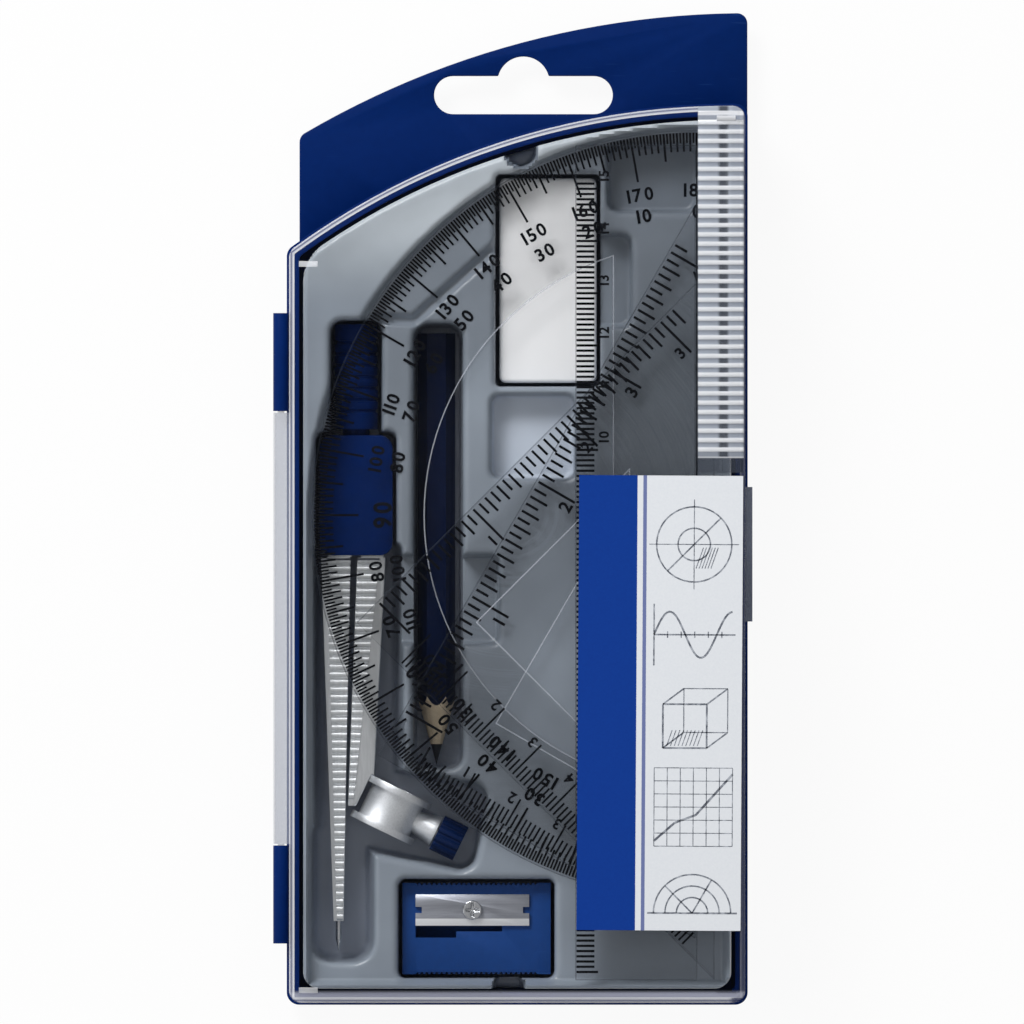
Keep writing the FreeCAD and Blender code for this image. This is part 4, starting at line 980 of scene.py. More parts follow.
class LineArt:
    """Thin raised bars, one for each printed or drawn line, and digits made once and copied."""

    glyphs: dict[str, tuple[bpy.types.Mesh, float]] = {}

    def __init__(self, level: float, thick: float = 0.015) -> None:
        """Begin line art.

        Args:
            level: Height of its underside in millimetres.
            thick: Thickness of the ink in millimetres.
        """
        self.level = level
        self.thick = thick
        self.made = bmesh.new()

    def bar(self, start: Point, end: Point, width: float) -> None:
        """Add a straight line.

        Args:
            start: One end in millimetres.
            end: The other end.
            width: Width of the line.
        """
        along = Vector((end[0] - start[0], end[1] - start[1]))
        if along.length == 0:
            return
        side = Vector((-along.y, along.x)).normalized() * (width / 2)
        plan = [Vector(start) - side, Vector(end) - side, Vector(end) + side, Vector(start) + side]
        rings = []
        for height in (self.level, self.level + self.thick):
            rings.append([self.made.verts.new((p.x * MM, p.y * MM, height * MM)) for p in plan])
        low, high = rings
        self.made.faces.new(reversed(low))
        self.made.faces.new(high)
        for index in range(4):
            following = (index + 1) % 4
            self.made.faces.new((low[index], low[following], high[following], high[index]))

    def path(self, points: Sequence[Point], width: float, closed: bool = False) -> None:
        """Add a line through several points.

        Args:
            points: The points in millimetres.
            width: Width of the line.
            closed: True to join the last point to the first.
        """
        ends = list(points[1:]) + ([points[0]] if closed else [])
        for start, end in zip(points, ends):
            self.bar(start, end, width)

    def ring(self, middle: Point, radius: float, width: float, steps: int = 48,
             sweep: tuple[float, float] = (0.0, 360.0)) -> None:
        """Add a circle or an arc.

        Args:
            middle: Its middle in millimetres.
            radius: Its radius.
            width: Width of the line.
            steps: Straight runs in it.
            sweep: First and last angle in degrees.
        """
        angles = np.radians(np.linspace(sweep[0], sweep[1], steps + 1))
        points = [(middle[0] + radius * math.cos(a), middle[1] + radius * math.sin(a)) for a in angles]
        self.path(points, width)

    @classmethod
    def glyph(cls, sign: str) -> tuple[bpy.types.Mesh, float]:
        """Model one digit, one unit high, the first time that it is asked for.

        Args:
            sign: The digit.

        Returns:
            Its mesh and its width.
        """
        if sign not in cls.glyphs:
            Bench.clear()
            bpy.ops.object.text_add()
            text = bpy.context.active_object
            text.data.body = sign
            text.data.resolution_u = 3
            text.data.extrude = 0.5
            text.data.offset = 0.028
            bpy.ops.object.convert(target="MESH")
            text = bpy.context.active_object
            corners = np.array([v.co for v in text.data.vertices])
            low, high = corners.min(axis=0), corners.max(axis=0)
            height = high[1] - low[1]
            text.data.transform(Matrix.Diagonal((1 / height, 1 / height, 1, 1))
                                @ Matrix.Translation((-(low[0] + high[0]) / 2, -(low[1] + high[1]) / 2, 0)))
            bm = bmesh.new()
            bm.from_mesh(text.data)
            bmesh.ops.remove_doubles(bm, verts=bm.verts, dist=1e-5)
            bm.to_mesh(text.data)
            bm.free()
            cls.glyphs[sign] = (text.data, float((high[0] - low[0]) / height))
            bpy.data.objects.remove(text)
        return cls.glyphs[sign]

    def number(self, text: str, middle: Point, height: float, turn: float, wide: float = 1.0) -> None:
        """Add a number.

        Args:
            text: Its digits.
            middle: Its middle in millimetres.
            height: Height of the digits.
            turn: Turn from reading along X, in degrees.
            wide: Stretch of the digits across.
        """
        gap = 0.2
        widths = [self.glyph(sign)[1] * wide for sign in text]
        run = sum(widths) + gap * (len(text) - 1)
        place = (Matrix.Translation((middle[0] * MM, middle[1] * MM, (self.level + self.thick / 2) * MM))
                 @ Matrix.Rotation(math.radians(turn), 4, "Z")
                 @ Matrix.Diagonal((height * MM, height * MM, self.thick * MM, 1)))
        at = -run / 2
        for sign, width in zip(text, widths):
            mesh = self.glyph(sign)[0].copy()
            mesh.transform(place @ Matrix.Translation((at + width / 2, 0, 0))
                           @ Matrix.Diagonal((wide, 1, 1, 1)))
            self.made.from_mesh(mesh)
            bpy.data.meshes.remove(mesh)
            at += width + gap

    def piece(self, name: str, finish: Finish) -> bpy.types.Object:
        """Finish the line art as one piece.

        Args:
            name: Name of the piece.
            finish: Its finish.

        Returns:
            The piece.
        """
        mesh = bpy.data.meshes.new(name)
        self.made.to_mesh(mesh)
        self.made.free()
        return Bench.link(name, mesh, finish)


@dataclass
class CaseShells:
    """Navy base, clear lid and sliding tab."""

    edge: float = 0.22
    tab_edge: float = 0.18

    def build(self) -> None:
        """Round and dress the base, the tab and the lid."""
        Bench.rounded("base_shell", "base_moulding", NAVY, self.edge, Body.BASE, "case_blue")
        Bench.rounded("hang_tab", "hang_tab_sheet", NAVY, self.tab_edge, Body.TAB, "case_blue")
        lid = Bench.copy("lid_shell", "lid_moulding", LID)
        Bench.smooth(lid)
        Bench.hand_over(lid, Body.LID, "case_clear", "lid_shell")


@dataclass
class FrontLabel:
    """Paper label on the lid, with a band of colour and plain geometry drawings."""

    middle: Point = (27.3, -28.46)
    tilt: float = 0.35
    level: float = 26.9
    under: float = 26.73
    drawing_right: float = 15.2
    line: float = 0.28

    def place(self, across: float, up: float) -> Point:
        """Turn a place on the label, from its middle, into a place on the case.

        Args:
            across: Distance to the right of the middle in millimetres.
            up: Distance above the middle.

        Returns:
            The place on the case.
        """
        slope = math.radians(-self.tilt)
        return (self.middle[0] + across * math.cos(slope) - up * math.sin(slope),
                self.middle[1] + across * math.sin(slope) + up * math.cos(slope))

    def lay_paper(self) -> None:
        """Copy the paper with its under side a hair clear of the lid, so that they share no plane."""
        paper = Bench.copy("front_label", "label_sheet", PAPER)
        for vertex in paper.data.vertices:
            vertex.co.z = max(vertex.co.z, self.under * MM)
        Bench.hand_over(paper, Body.LID, "label_paper", "front_label")

    def build(self) -> None:
        """Lay the paper and draw on it."""
        self.lay_paper()
        art = LineArt(self.level + 0.002)
        self.draw_circles(art)
        self.draw_wave(art)
        self.draw_cube(art)
        self.draw_grid(art)
        self.draw_arcs(art)
        Bench.hand_over(art.piece("label_drawings", DRAWN), Body.LID, "label_paper")

    def run(self, art: LineArt, points: Sequence[Point], width: float, closed: bool = False) -> None:
        """Draw a line through places on the label."""
        art.path([self.place(*point) for point in points], width, closed)

    def draw_circles(self, art: LineArt) -> None:
        """Draw a circle on centre lines with a smaller one inside it.

        Args:
            art: Line art to draw in.
        """
        middle = (6.4, 30.4)
        for radius in (7.2, 3.1):
            art.ring(self.place(*middle), radius, self.line)
        for dx, dy in ((8.6, 0.0), (0.0, 8.6)):
            ends = [(middle[0] - dx, middle[1] - dy), (middle[0] + dx, middle[1] + dy)]
            self.run(art, ends, self.line * 0.6)
        self.run(art, [(middle[0] - 5.1, middle[1] - 5.1), (middle[0] + 5.1, middle[1] + 5.1)], self.line)
        self.hatch(art, middle[0] + 0.8, middle[1] - 4.6, 3.4, 4.0, 6)

    def hatch(self, art: LineArt, left: float, low: float, wide: float, high: float, count: int) -> None:
        """Shade a field with slanting lines.

        Args:
            art: Line art to draw in.
            left: Left edge of the field.
            low: Lower edge.
            wide: Width.
            high: Height.
            count: Lines in it.
        """
        for index in range(count):
            at = left + wide * (index + 0.5) / count
            lean = 0.35 * high
            self.run(art, [(at - lean / 2, low), (at + lean / 2, low + high)], self.line * 0.6)

    def draw_wave(self, art: LineArt) -> None:
        """Draw a wave on two axes.

        Args:
            art: Line art to draw in.
        """
        left, low, high = -1.2, 7.2, 19.0
        self.run(art, [(left, low), (left, high)], self.line)
        self.run(art, [(left, (low + high) / 2), (self.drawing_right - 0.8, (low + high) / 2)], self.line)
        steps = [(left + t * 15.0, (low + high) / 2 + 4.4 * math.sin(t * math.tau * 1.25))
                 for t in np.linspace(0.0, 1.0, 60)]
        self.run(art, steps, self.line * 1.3)
        for mark in range(1, 6):
            at = left + mark * 2.6
            self.run(art, [(at, (low + high) / 2 - 0.6), (at, (low + high) / 2 + 0.6)], self.line * 0.8)

    def draw_cube(self, art: LineArt) -> None:
        """Draw a box in parallel view, with its hidden edges.

        Args:
            art: Line art to draw in.
        """
        size, shift_x, shift_y = 8.4, 4.0, 3.0
        left, low = 0.6, -8.6
        front = [(left, low), (left + size, low), (left + size, low + size), (left, low + size)]
        back = [(x + shift_x, y + shift_y) for x, y in front]
        self.run(art, front, self.line * 1.2, True)
        self.run(art, back, self.line * 0.7, True)
        for near, far in zip(front, back):
            self.run(art, [near, far], self.line)
        self.hatch(art, left + 0.9, low + 0.4, size - 1.8, size * 0.36, 9)

    def draw_grid(self, art: LineArt) -> None:
        """Draw squared paper with a rising line on it.

        Args:
            art: Line art to draw in.
        """
        left, low, step, count = -1.0, -27.4, 2.5, 6
        for index in range(count + 1):
            at = index * step
            self.run(art, [(left, low + at), (left + count * step, low + at)], self.line * 0.55)
            self.run(art, [(left + at, low), (left + at, low + count * step)], self.line * 0.55)
        rise = [(left, low + 1.0), (left + 4.0, low + 4.5), (left + 8.0, low + 6.0),
                (left + 15.0, low + 13.8)]
        self.run(art, rise, self.line * 1.5)

    def draw_arcs(self, art: LineArt) -> None:
        """Draw nested arcs over a base line.

        Args:
            art: Line art to draw in.
        """
        middle = (6.4, -40.2)
        slope = -self.tilt
        for radius in (3.0, 5.2, 7.4):
            art.ring(self.place(*middle), radius, self.line, 32, (slope, 180.0 + slope))
        self.run(art, [(middle[0] - 8.6, middle[1]), (middle[0] + 8.6, middle[1])], self.line * 1.2)
        self.run(art, [middle, (middle[0] + 3.7, middle[1] + 6.41)], self.line)
        self.run(art, [middle, (middle[0] - 5.23, middle[1] + 5.23)], self.line)


@dataclass(frozen=True)
class Pocket:
    """Rounded rectangular hollow of the tray, in millimetres, with its turn in degrees."""

    left: float
    right: float
    low: float
    high: float
    floor: float
    corner: float = 2.2
    edge: float = 1.3
    run: float = 0.76
    turn: float = 0.0

    def distance(self, x: np.ndarray, y: np.ndarray) -> np.ndarray:
        """Give the distance to its edge, below zero inside it.

        Args:
            x: Places across.
            y: Places along.

        Returns:
            The distances.
        """
        turn = math.radians(self.turn)
        along = x * math.cos(turn) + y * math.sin(turn)
        across = y * math.cos(turn) - x * math.sin(turn)
        over_x = np.abs(along - (self.left + self.right) / 2) - (self.right - self.left) / 2 + self.corner
        over_y = np.abs(across - (self.low + self.high) / 2) - (self.high - self.low) / 2 + self.corner
        outside = np.hypot(np.maximum(over_x, 0), np.maximum(over_y, 0))
        return outside + np.minimum(np.maximum(over_x, over_y), 0) - self.corner


@dataclass
class InstrumentTray:
    """Formed sheet with a rim, a floor for the plates and a hollow for each instrument."""

    half_width: float = 41.0
    bottom: float = -83.21
    arc_middle: Point = (40.75, -55.99)
    arc_radius: float = 139.2
    corner: float = 3.2
    rim_top: float = 21.3
    plate_floor: float = 18.05
    pocket_floor: float = 4.35
    finger_floor: float = 13.1
    foot: float = 3.45
    bay_half_width: float = 40.1
    bay_bottom: float = -82.31
    bay_middle: Point = (34.4, 7.5)
    bay_radius: float = 74.5
    coarse: float = 0.62
    fine: float = 0.36
    fine_columns: tuple[float, float] = (-31.5, -4.0)
    fine_rows: tuple[float, float] = (-64.0, -40.0)
    edge_lines: tuple[float, ...] = (-0.76, -0.45, -0.2, 0.0, 0.2, 0.5, 0.95, 1.5)
    least_gap: float = 0.13
    margin: float = 0.3
    trimmed: float = 1.0
    rim_radius: float = 1.0
    least_wall: float = 0.8
    bay_edge: float = 0.9
    bay_run: float = 1.3
    notch_low_x: float = -1.7
    notch_high: Point = (0.7, 77.3)
    notch_radius: float = 3.2
    notch_floor: float = 8.0
    notch_edge: float = 0.6
    groove_route: tuple[Point, ...] = ((-3.6, 59.4), (-19.8, 44.9), (-26.6, 45.2))
    groove_reach: float = 1.5
    groove_depth: float = 1.5

    def pockets(self) -> list[Pocket]:
        """List the hollows.

        Returns:
            The hollows, in millimetres.
        """
        deep, low = self.pocket_floor, self.finger_floor
        return [
            Pocket(-35.9, -25.9, 20.0, 44.9, 6.7, 2.6),
            Pocket(-38.7, -23.1, -1.0, 23.6, 7.2, 2.0),
            Pocket(-39.2, -21.95, -57.6, 3.0, deep, 3.0, 1.1, 2.2),
            Pocket(-39.7, -27.5, -78.2, -50.0, deep, 4.4, 1.3, 1.9),
            Pocket(-20.2, 4.0, -61.6, -44.8, deep, 3.4, 1.6, 1.2, -11.6),
            Pocket(-19.9, -10.4, -41.2, 44.2, deep, 3.0),
            Pocket(-27.5, -3.5, -17.2, -0.2, low, 1.6),
            Pocket(-4.2, 16.0, 32.1, 72.9, deep, 1.2),
            Pocket(13.0, 22.0, 43.6, 61.4, low, 2.2),
            Pocket(-5.0, 11.0, 14.5, 30.5, low, 1.8),
            Pocket(17.3, 34.5, 65.6, 78.4, low, 2.2),
            Pocket(-22.8, 7.2, -81.3, -62.2, deep, 1.6),
        ]

    def outline(self, x: np.ndarray, y: np.ndarray) -> np.ndarray:
        """Give the distance to the tray's outline, below zero inside it.

        Args:
            x: Places across.
            y: Places along.

        Returns:
            The distances.
        """
        arc = np.hypot(x - self.arc_middle[0], y - self.arc_middle[1]) - self.arc_radius
        sides = np.abs(x) - self.half_width
        ends = np.maximum(arc, self.bottom - y)
        meet = np.hypot(np.maximum(sides + self.corner, 0), np.maximum(ends + self.corner, 0))
        return np.minimum(np.maximum(sides, ends), -self.corner) + meet

    def bay(self, x: np.ndarray, y: np.ndarray) -> np.ndarray:
        """Give the distance to the edge of the plates' bay, below zero inside it.

        Args:
            x: Places across.
            y: Places along.

        Returns:
            The distances.
        """
        disc = np.hypot(x - self.bay_middle[0], y - self.bay_middle[1]) - self.bay_radius
        lower = y - self.bay_middle[1]
        right = np.maximum(self.bay_middle[0] - x, y - self.bay_middle[1] - self.bay_radius)
        joined = np.minimum(np.minimum(disc, lower), right)
        return np.maximum(joined, np.maximum(np.abs(x) - self.bay_half_width, self.bay_bottom - y))

    def fall(self, distance: np.ndarray, depth: np.ndarray, edge: float, run: float) -> np.ndarray:
        """Give how far the sheet has fallen at a distance from a hollow's edge.

        Args:
            distance: Distances to the edge, below zero inside.
            depth: Full depth there.
            edge: Radius of the rounded edge.
            run: Run of the wall inside the edge.

        Returns:
            The fall.
        """
        turned = np.minimum(edge, depth / 2)
        over = np.clip(turned - distance, 0, turned)
        rounded = turned - np.sqrt(np.maximum(turned ** 2 - over ** 2, 0))
        down = np.clip(-distance / run, 0, 1)
        return rounded + (depth - turned) * (1 - (1 - down) ** 3)

    def groove(self, x: np.ndarray, y: np.ndarray) -> np.ndarray:
        """Give the depth of the shallow stiffening groove beside the eraser's hollow.

        Args:
            x: Places across.
            y: Places along.

        Returns:
            The depths.
        """
        nearest = np.full(x.shape, 1e3)
        for (ax, ay), (bx, by) in zip(self.groove_route, self.groove_route[1:]):
            run_x, run_y = bx - ax, by - ay
            share = np.clip(((x - ax) * run_x + (y - ay) * run_y) / (run_x ** 2 + run_y ** 2), 0, 1)
            nearest = np.minimum(nearest, np.hypot(x - ax - share * run_x, y - ay - share * run_y))
        return self.groove_depth * np.clip(1 - (nearest / self.groove_reach) ** 2, 0, 1) ** 2

    def height(self, x: np.ndarray, y: np.ndarray) -> np.ndarray:
        """Give the height of the sheet.

        Args:
            x: Places across.
            y: Places along.

        Returns:
            The heights in millimetres.
        """
        step = np.full(x.shape, self.rim_top - self.plate_floor)
        into_bay = self.fall(self.bay(x, y), step, self.bay_edge, self.bay_run)
        land = self.rim_top - into_bay - self.groove(x, y)
        top = land
        for pocket in self.pockets():
            fallen = land - self.fall(pocket.distance(x, y), np.maximum(land - pocket.floor, 0.0),
                                      pocket.edge, pocket.run)
            top = np.minimum(top, fallen)
        for notch_x, notch_y in ((self.notch_low_x, self.bottom), self.notch_high):
            round_notch = np.hypot(x - notch_x, y - notch_y) - self.notch_radius
            deep = np.maximum(land - self.notch_floor, 0.0)
            top = np.minimum(top, land - self.fall(round_notch, deep, self.notch_edge, self.notch_edge))
        inside = np.clip(self.outline(x, y) + self.rim_radius, 0, self.rim_radius)
        rounded = self.rim_radius - np.sqrt(np.maximum(self.rim_radius ** 2 - inside ** 2, 0))
        return np.maximum(top - rounded, self.foot + self.least_wall)

    def lines(self, low: float, high: float, edges: Iterable[float], fine: tuple[float, float]) -> np.ndarray:
        """Choose grid lines that are close at the hollows' edges and wider between them.

        Args:
            low: First line.
            high: Last line.
            edges: Places of the edges.
            fine: Start and end of the run where all the lines are close.

        Returns:
            The lines in order.
        """
        wanted = {low, high}
        wanted.update(np.arange(*fine, self.fine))
        for edge in edges:
            wanted.update(edge + shift for shift in self.edge_lines)
        kept = [low]
        for line in sorted(wanted):
            if low < line <= high and line - kept[-1] > self.least_gap:
                count = max(1, math.ceil((line - kept[-1]) / self.coarse))
                kept.extend(np.linspace(kept[-1], line, count + 1)[1:])
        return np.array(kept)

    def build(self) -> None:
        """Form the tray from a grid and dress it."""
        pockets = self.pockets()
        top = self.arc_middle[1] + self.arc_radius
        straight = [pocket for pocket in pockets if pocket.turn == 0]
        columns = self.lines(-self.half_width - self.margin, self.half_width + self.margin,
                             [edge for pocket in straight for edge in (pocket.left, pocket.right)],
                             self.fine_columns)
        rows = self.lines(self.bottom - self.margin, top + self.margin,
                          [edge for pocket in straight for edge in (pocket.low, pocket.high)], self.fine_rows)
        tray = Bench.primitive("formed_tray", TRAY, lambda: bpy.ops.mesh.primitive_grid_add(
            x_subdivisions=len(columns) - 1, y_subdivisions=len(rows) - 1, size=2.0))
        flat = np.empty(len(tray.data.vertices) * 3, np.float32)
        tray.data.vertices.foreach_get("co", flat)
        spots = flat.reshape(-1, 3)
        column = np.rint((spots[:, 0] + 1) / 2 * (len(columns) - 1)).astype(int)
        row = np.rint((spots[:, 1] + 1) / 2 * (len(rows) - 1)).astype(int)
        x, y = columns[column], rows[row]
        outside = self.outline(x, y)
        self.trim(tray, outside)
        x, y, outside = (values[outside < self.trimmed] for values in (x, y, outside))
        step = 1e-3
        slope_x = (self.outline(x + step, y) - self.outline(x - step, y)) / (2 * step)
        slope_y = (self.outline(x, y + step) - self.outline(x, y - step)) / (2 * step)
        pull = np.maximum(outside, 0)
        x, y = x - pull * slope_x, y - pull * slope_y
        places = np.column_stack((x, y, self.height(x, y))) * MM
        tray.data.vertices.foreach_set("co", places.astype(np.float32).ravel())
        tray.data.update()
        self.skirt(tray)
        Bench.smooth(tray, 62.0)
        Bench.hand_over(tray, Body.BASE, "tray_grey", "instrument_tray")

    def trim(self, tray: bpy.types.Object, outside: np.ndarray) -> None:
        """Delete the corners of the grid that lie well outside the outline.

        Args:
            tray: The tray.
            outside: Distance of each corner outside the outline, in millimetres.
        """
        Bench.take(tray)
        bpy.ops.object.mode_set(mode="EDIT")
        bpy.ops.mesh.select_mode(type="VERT")
        bpy.ops.mesh.select_all(action="DESELECT")
        bpy.ops.object.mode_set(mode="OBJECT")
        tray.data.vertices.foreach_set("select", outside >= self.trimmed)
        bpy.ops.object.mode_set(mode="EDIT")
        bpy.ops.mesh.delete(type="VERT")
        bpy.ops.object.mode_set(mode="OBJECT")

    def skirt(self, tray: bpy.types.Object) -> None:
        """Draw the outer edge down to the base's floor and close the underside.

        Args:
            tray: The tray.
        """
        Bench.edit(tray, lambda: bpy.ops.mesh.remove_doubles(threshold=2e-6))
        Bench.take(tray)
        bpy.ops.object.mode_set(mode="EDIT")
        bpy.ops.mesh.select_mode(type="EDGE")
        bpy.ops.mesh.select_all(action="DESELECT")
        bpy.ops.mesh.select_non_manifold(extend=False, use_wire=False, use_boundary=True,
                                         use_multi_face=False, use_non_contiguous=False, use_verts=False)
        bpy.ops.mesh.extrude_edges_move(TRANSFORM_OT_translate={"value": (0, 0, -1 * MM)})
        bpy.ops.object.mode_set(mode="OBJECT")
        for vertex in tray.data.vertices:
            if vertex.select:
                vertex.co.z = self.foot * MM
        bpy.ops.object.mode_set(mode="EDIT")
        bpy.ops.mesh.edge_face_add()
        bpy.ops.mesh.select_all(action="SELECT")
        bpy.ops.mesh.normals_make_consistent(inside=False)
        bpy.ops.object.mode_set(mode="OBJECT")


@dataclass
class ClearPlates:
    """Protractor, two set squares and ruler, with their scales."""

    ink_lift: float = 0.04
    window_edge: float = 0.26
    rim_reach: float = 0.8
    protractor_z: float = 18.1
    square60_z: float = 19.7
    square45_z: float = 21.3
    ruler_z: float = 22.9
    middle: Point = (34.4, 7.5)
    square45_corner: Point = (-30.79, -13.0)
    square60_corner: Point = (-26.8, -38.5)
    ruler_left: float = 11.1
    ruler_zero: float = -80.0
    ruler_ticks: int = 152
    ruler_steps: tuple[tuple[int, float], ...] = ((10, 15.5), (1, 14.8))
    ruler_numbers: float = 16.6
    inch_parts: int = 16
    beside: float = 1.6
    square45_inches: float = 5.7
    square45_centimetres: float = 11.7
    square60_inches: float = 10.0
    square60_centimetres: float = 8.0
    tick_start: float = 0.55
    degree_edge: float = 73.3
    degree_steps: tuple[tuple[int, float, float], ...] = (
        (20, 64.8, 0.42), (10, 68.0, 0.42), (2, 69.7, 0.38), (1, 71.3, 0.34))
    degree_numbers: tuple[float, float] = (62.3, 58.2)
    right_angle: float = 60.2

    def build(self) -> None:
        """Round and dress the plates, then print their scales."""
        for node, name in (("protractor", "protractor_plate"), ("set_square_60", "square_60_plate"),
                           ("set_square_45", "square_45_plate"), ("ruler", "ruler_plate")):
            plate = Bench.copy(node, name, PLATE, PLATE_EDGE_HIGHLIGHT, PLATE_RIM_SHADE)
            Bench.bevel(plate, self.window_edge, 2, 1)
            self.mark_rim(plate)
            Bench.smooth(plate, 30.0)
            Bench.hand_over(plate, Body.BASE, "plate_clear", node)
        self.print_protractor()
        self.print_square_45()
        self.print_square_60()
        self.print_ruler()

    def mark_rim(self, plate: bpy.types.Object) -> None:
        """Give the rounded faces on a plate's outline the finish with painted shade, darker than the painted
        highlight on those of its window.

        Args:
            plate: The plate.
        """
        corners = [vertex.co.to_2d() / MM for vertex in plate.data.vertices]
        hull = [corners[index] for index in convex_hull_2d(corners)]
        for face in plate.data.polygons:
            if face.material_index == 1:
                spot = face.center.to_2d() / MM
                sides = zip(hull, hull[1:] + hull[:1])
                if min(self.gap(spot, start, end) for start, end in sides) < self.rim_reach:
                    face.material_index = 2

    @staticmethod
    def gap(spot: Vector, start: Vector, end: Vector) -> float:
        """Give the distance from a spot to a straight side."""
        near = intersect_point_line(spot, start, end)[0]
        return (spot - near.to_2d()).length

    def print_protractor(self) -> None:
        """Print the degrees round the protractor and the line of its base."""
        art = LineArt(self.protractor_z + self.ink_lift)

        def spot(angle: float, radius: float) -> Point:
            """Give a place by its angle from the top and its radius."""
            turned = math.radians(angle)
            return (self.middle[0] - radius * math.sin(turned), self.middle[1] + radius * math.cos(turned))

        for half in range(361):
            angle = half / 2
            inner, width = next(rest for interval, *rest in self.degree_steps if half % interval == 0)
            art.bar(spot(angle, self.degree_edge), spot(angle, inner), width)
        outer_row, inner_row = self.degree_numbers
        for angle in range(0, 181, 10):
            if angle == 90:
                art.number("90", spot(90, self.right_angle), 3.7, 90.0, 0.9)
                continue
            art.number(str(180 - angle), spot(angle, outer_row), 2.6, float(angle))
            art.number(str(angle), spot(angle, inner_row), 2.6, float(angle))
        art.bar((self.middle[0], self.middle[1] - self.degree_edge),
                (self.middle[0], self.middle[1] + self.degree_edge), 0.3)
        Bench.hand_over(art.piece("protractor_scale", INK), Body.BASE, "plate_clear")

    @staticmethod
    def tick(index: int, steps: Iterable[tuple[int, float]]) -> float:
        """Give the length of a tick.

        Args:
            index: Number of the tick, from 0.
            steps: Intervals, the longest first, each with the length of the ticks on it.

        Returns:
            The length for the first interval that the tick falls on.
        """
        return next(length for interval, length in steps if index % interval == 0)

    def edge_scale(self, art: LineArt, corner: Point, along: Point, inward: Point, zero: float, pitch: float,
                   count: int, steps: Sequence[tuple[int, float]], width: float) -> None:
        """Print ticks along a straight edge.

        Args:
            art: Line art to print in.
            corner: Corner of the plate where the edge begins.
            along: Direction of the edge.
            inward: Direction into the plate.
            zero: Distance of the first tick from the corner.
            pitch: Distance between ticks.
            count: Ticks after the first one.
            steps: Intervals, the longest first, each with the length of the ticks on it.
            width: Width of the ticks.
        """
        step, into = Vector(along), Vector(inward)
        for index in range(count + 1):
            foot = Vector(corner) + step * (zero + index * pitch)
            art.bar(tuple(foot + into * self.tick_start), tuple(foot + into * self.tick(index, steps)), width)

    def edge_numbers(self, art: LineArt, corner: Point, along: Point, inward: Point, places: Iterable[float],
                     depth: float, height: float, reading: Along) -> None:
        """Print numbers from 1 upwards beside a scale.

        Args:
            art: Line art to print in.
            corner: Corner of the plate where the edge begins.
            along: Direction of the edge.
            inward: Direction into the plate.
            places: Distance of each number from the corner.
            depth: Distance of the numbers from the edge.
            height: Height of the digits.
            reading: Way that the numbers read along the edge.
        """
        turn = math.degrees(math.atan2(along[1], along[0])) + (0.0 if reading is Along.FORWARD else 180.0)
        for number, at in enumerate(places, start=1):
            spot = Vector(corner) + Vector(along) * at + Vector(inward) * depth
            art.number(str(number), tuple(spot), height, turn)

    def print_square_45(self) -> None:
        """Print inches on the upper short edge and centimetres on the lower one."""
        art = LineArt(self.square45_z + self.ink_lift)
        half = math.sqrt(0.5)
        up, down = (half, half), (half, -half)
        corner, inches, centimetres = self.square45_corner, self.square45_inches, self.square45_centimetres
        self.edge_scale(art, corner, up, down, inches, INCH / self.inch_parts, 50,
                        ((self.inch_parts, 8.8), (2, 4.1), (1, 3.2)), 0.48)
        self.edge_numbers(art, corner, up, down, [inches + INCH * n - self.beside for n in (1, 2, 3)],
                          7.4, 2.35, Along.FORWARD)
        self.edge_scale(art, corner, down, up, centimetres, 1.0, 76, ((10, 8.4), (5, 4.6), (1, 3.6)), 0.38)
        self.edge_numbers(art, corner, down, up, [centimetres + 10 * n - self.beside for n in range(1, 8)],
                          7.6, 2.2, Along.BACKWARD)
        Bench.hand_over(art.piece("square_45_scale", INK), Body.BASE, "plate_clear")

    def print_square_60(self) -> None:
        """Print inches on the long edge and centimetres on the short one."""
        art = LineArt(self.square60_z + self.ink_lift)
        steep, shallow = math.sqrt(0.75), 0.5
        long_way, short_way = (shallow, steep), (steep, -shallow)
        corner, inches, centimetres = self.square60_corner, self.square60_inches, self.square60_centimetres
        self.edge_scale(art, corner, long_way, short_way, inches, INCH / self.inch_parts, 65,
                        ((self.inch_parts, 8.6), (2, 4.3), (1, 3.2)), 0.5)
        self.edge_numbers(art, corner, long_way, short_way,
                          [inches + INCH * n - self.beside for n in range(1, 5)], 7.4, 2.6, Along.FORWARD)
        self.edge_scale(art, corner, short_way, long_way, centimetres, 1.0, 52, ((10, 6.4), (1, 3.6)), 0.38)
        self.edge_numbers(art, corner, short_way, long_way,
                          [centimetres + 10 * n - self.beside for n in range(1, 6)], 5.8, 2.2, Along.BACKWARD)
        Bench.hand_over(art.piece("square_60_scale", INK), Body.BASE, "plate_clear")

    def print_ruler(self) -> None:
        """Print millimetres along the ruler's bevelled edge."""
        art = LineArt(self.ruler_z + self.ink_lift)
        for index in range(self.ruler_ticks):
            at = self.ruler_zero + index
            art.bar((self.ruler_left + 0.25, at), (self.tick(index, self.ruler_steps), at), 0.46)
        for number in range(1, 16):
            art.number(str(number), (self.ruler_numbers, self.ruler_zero + number * 10 + 2.5), 2.0, 90.0)
        Bench.hand_over(art.piece("ruler_scale", INK), Body.BASE, "plate_clear")


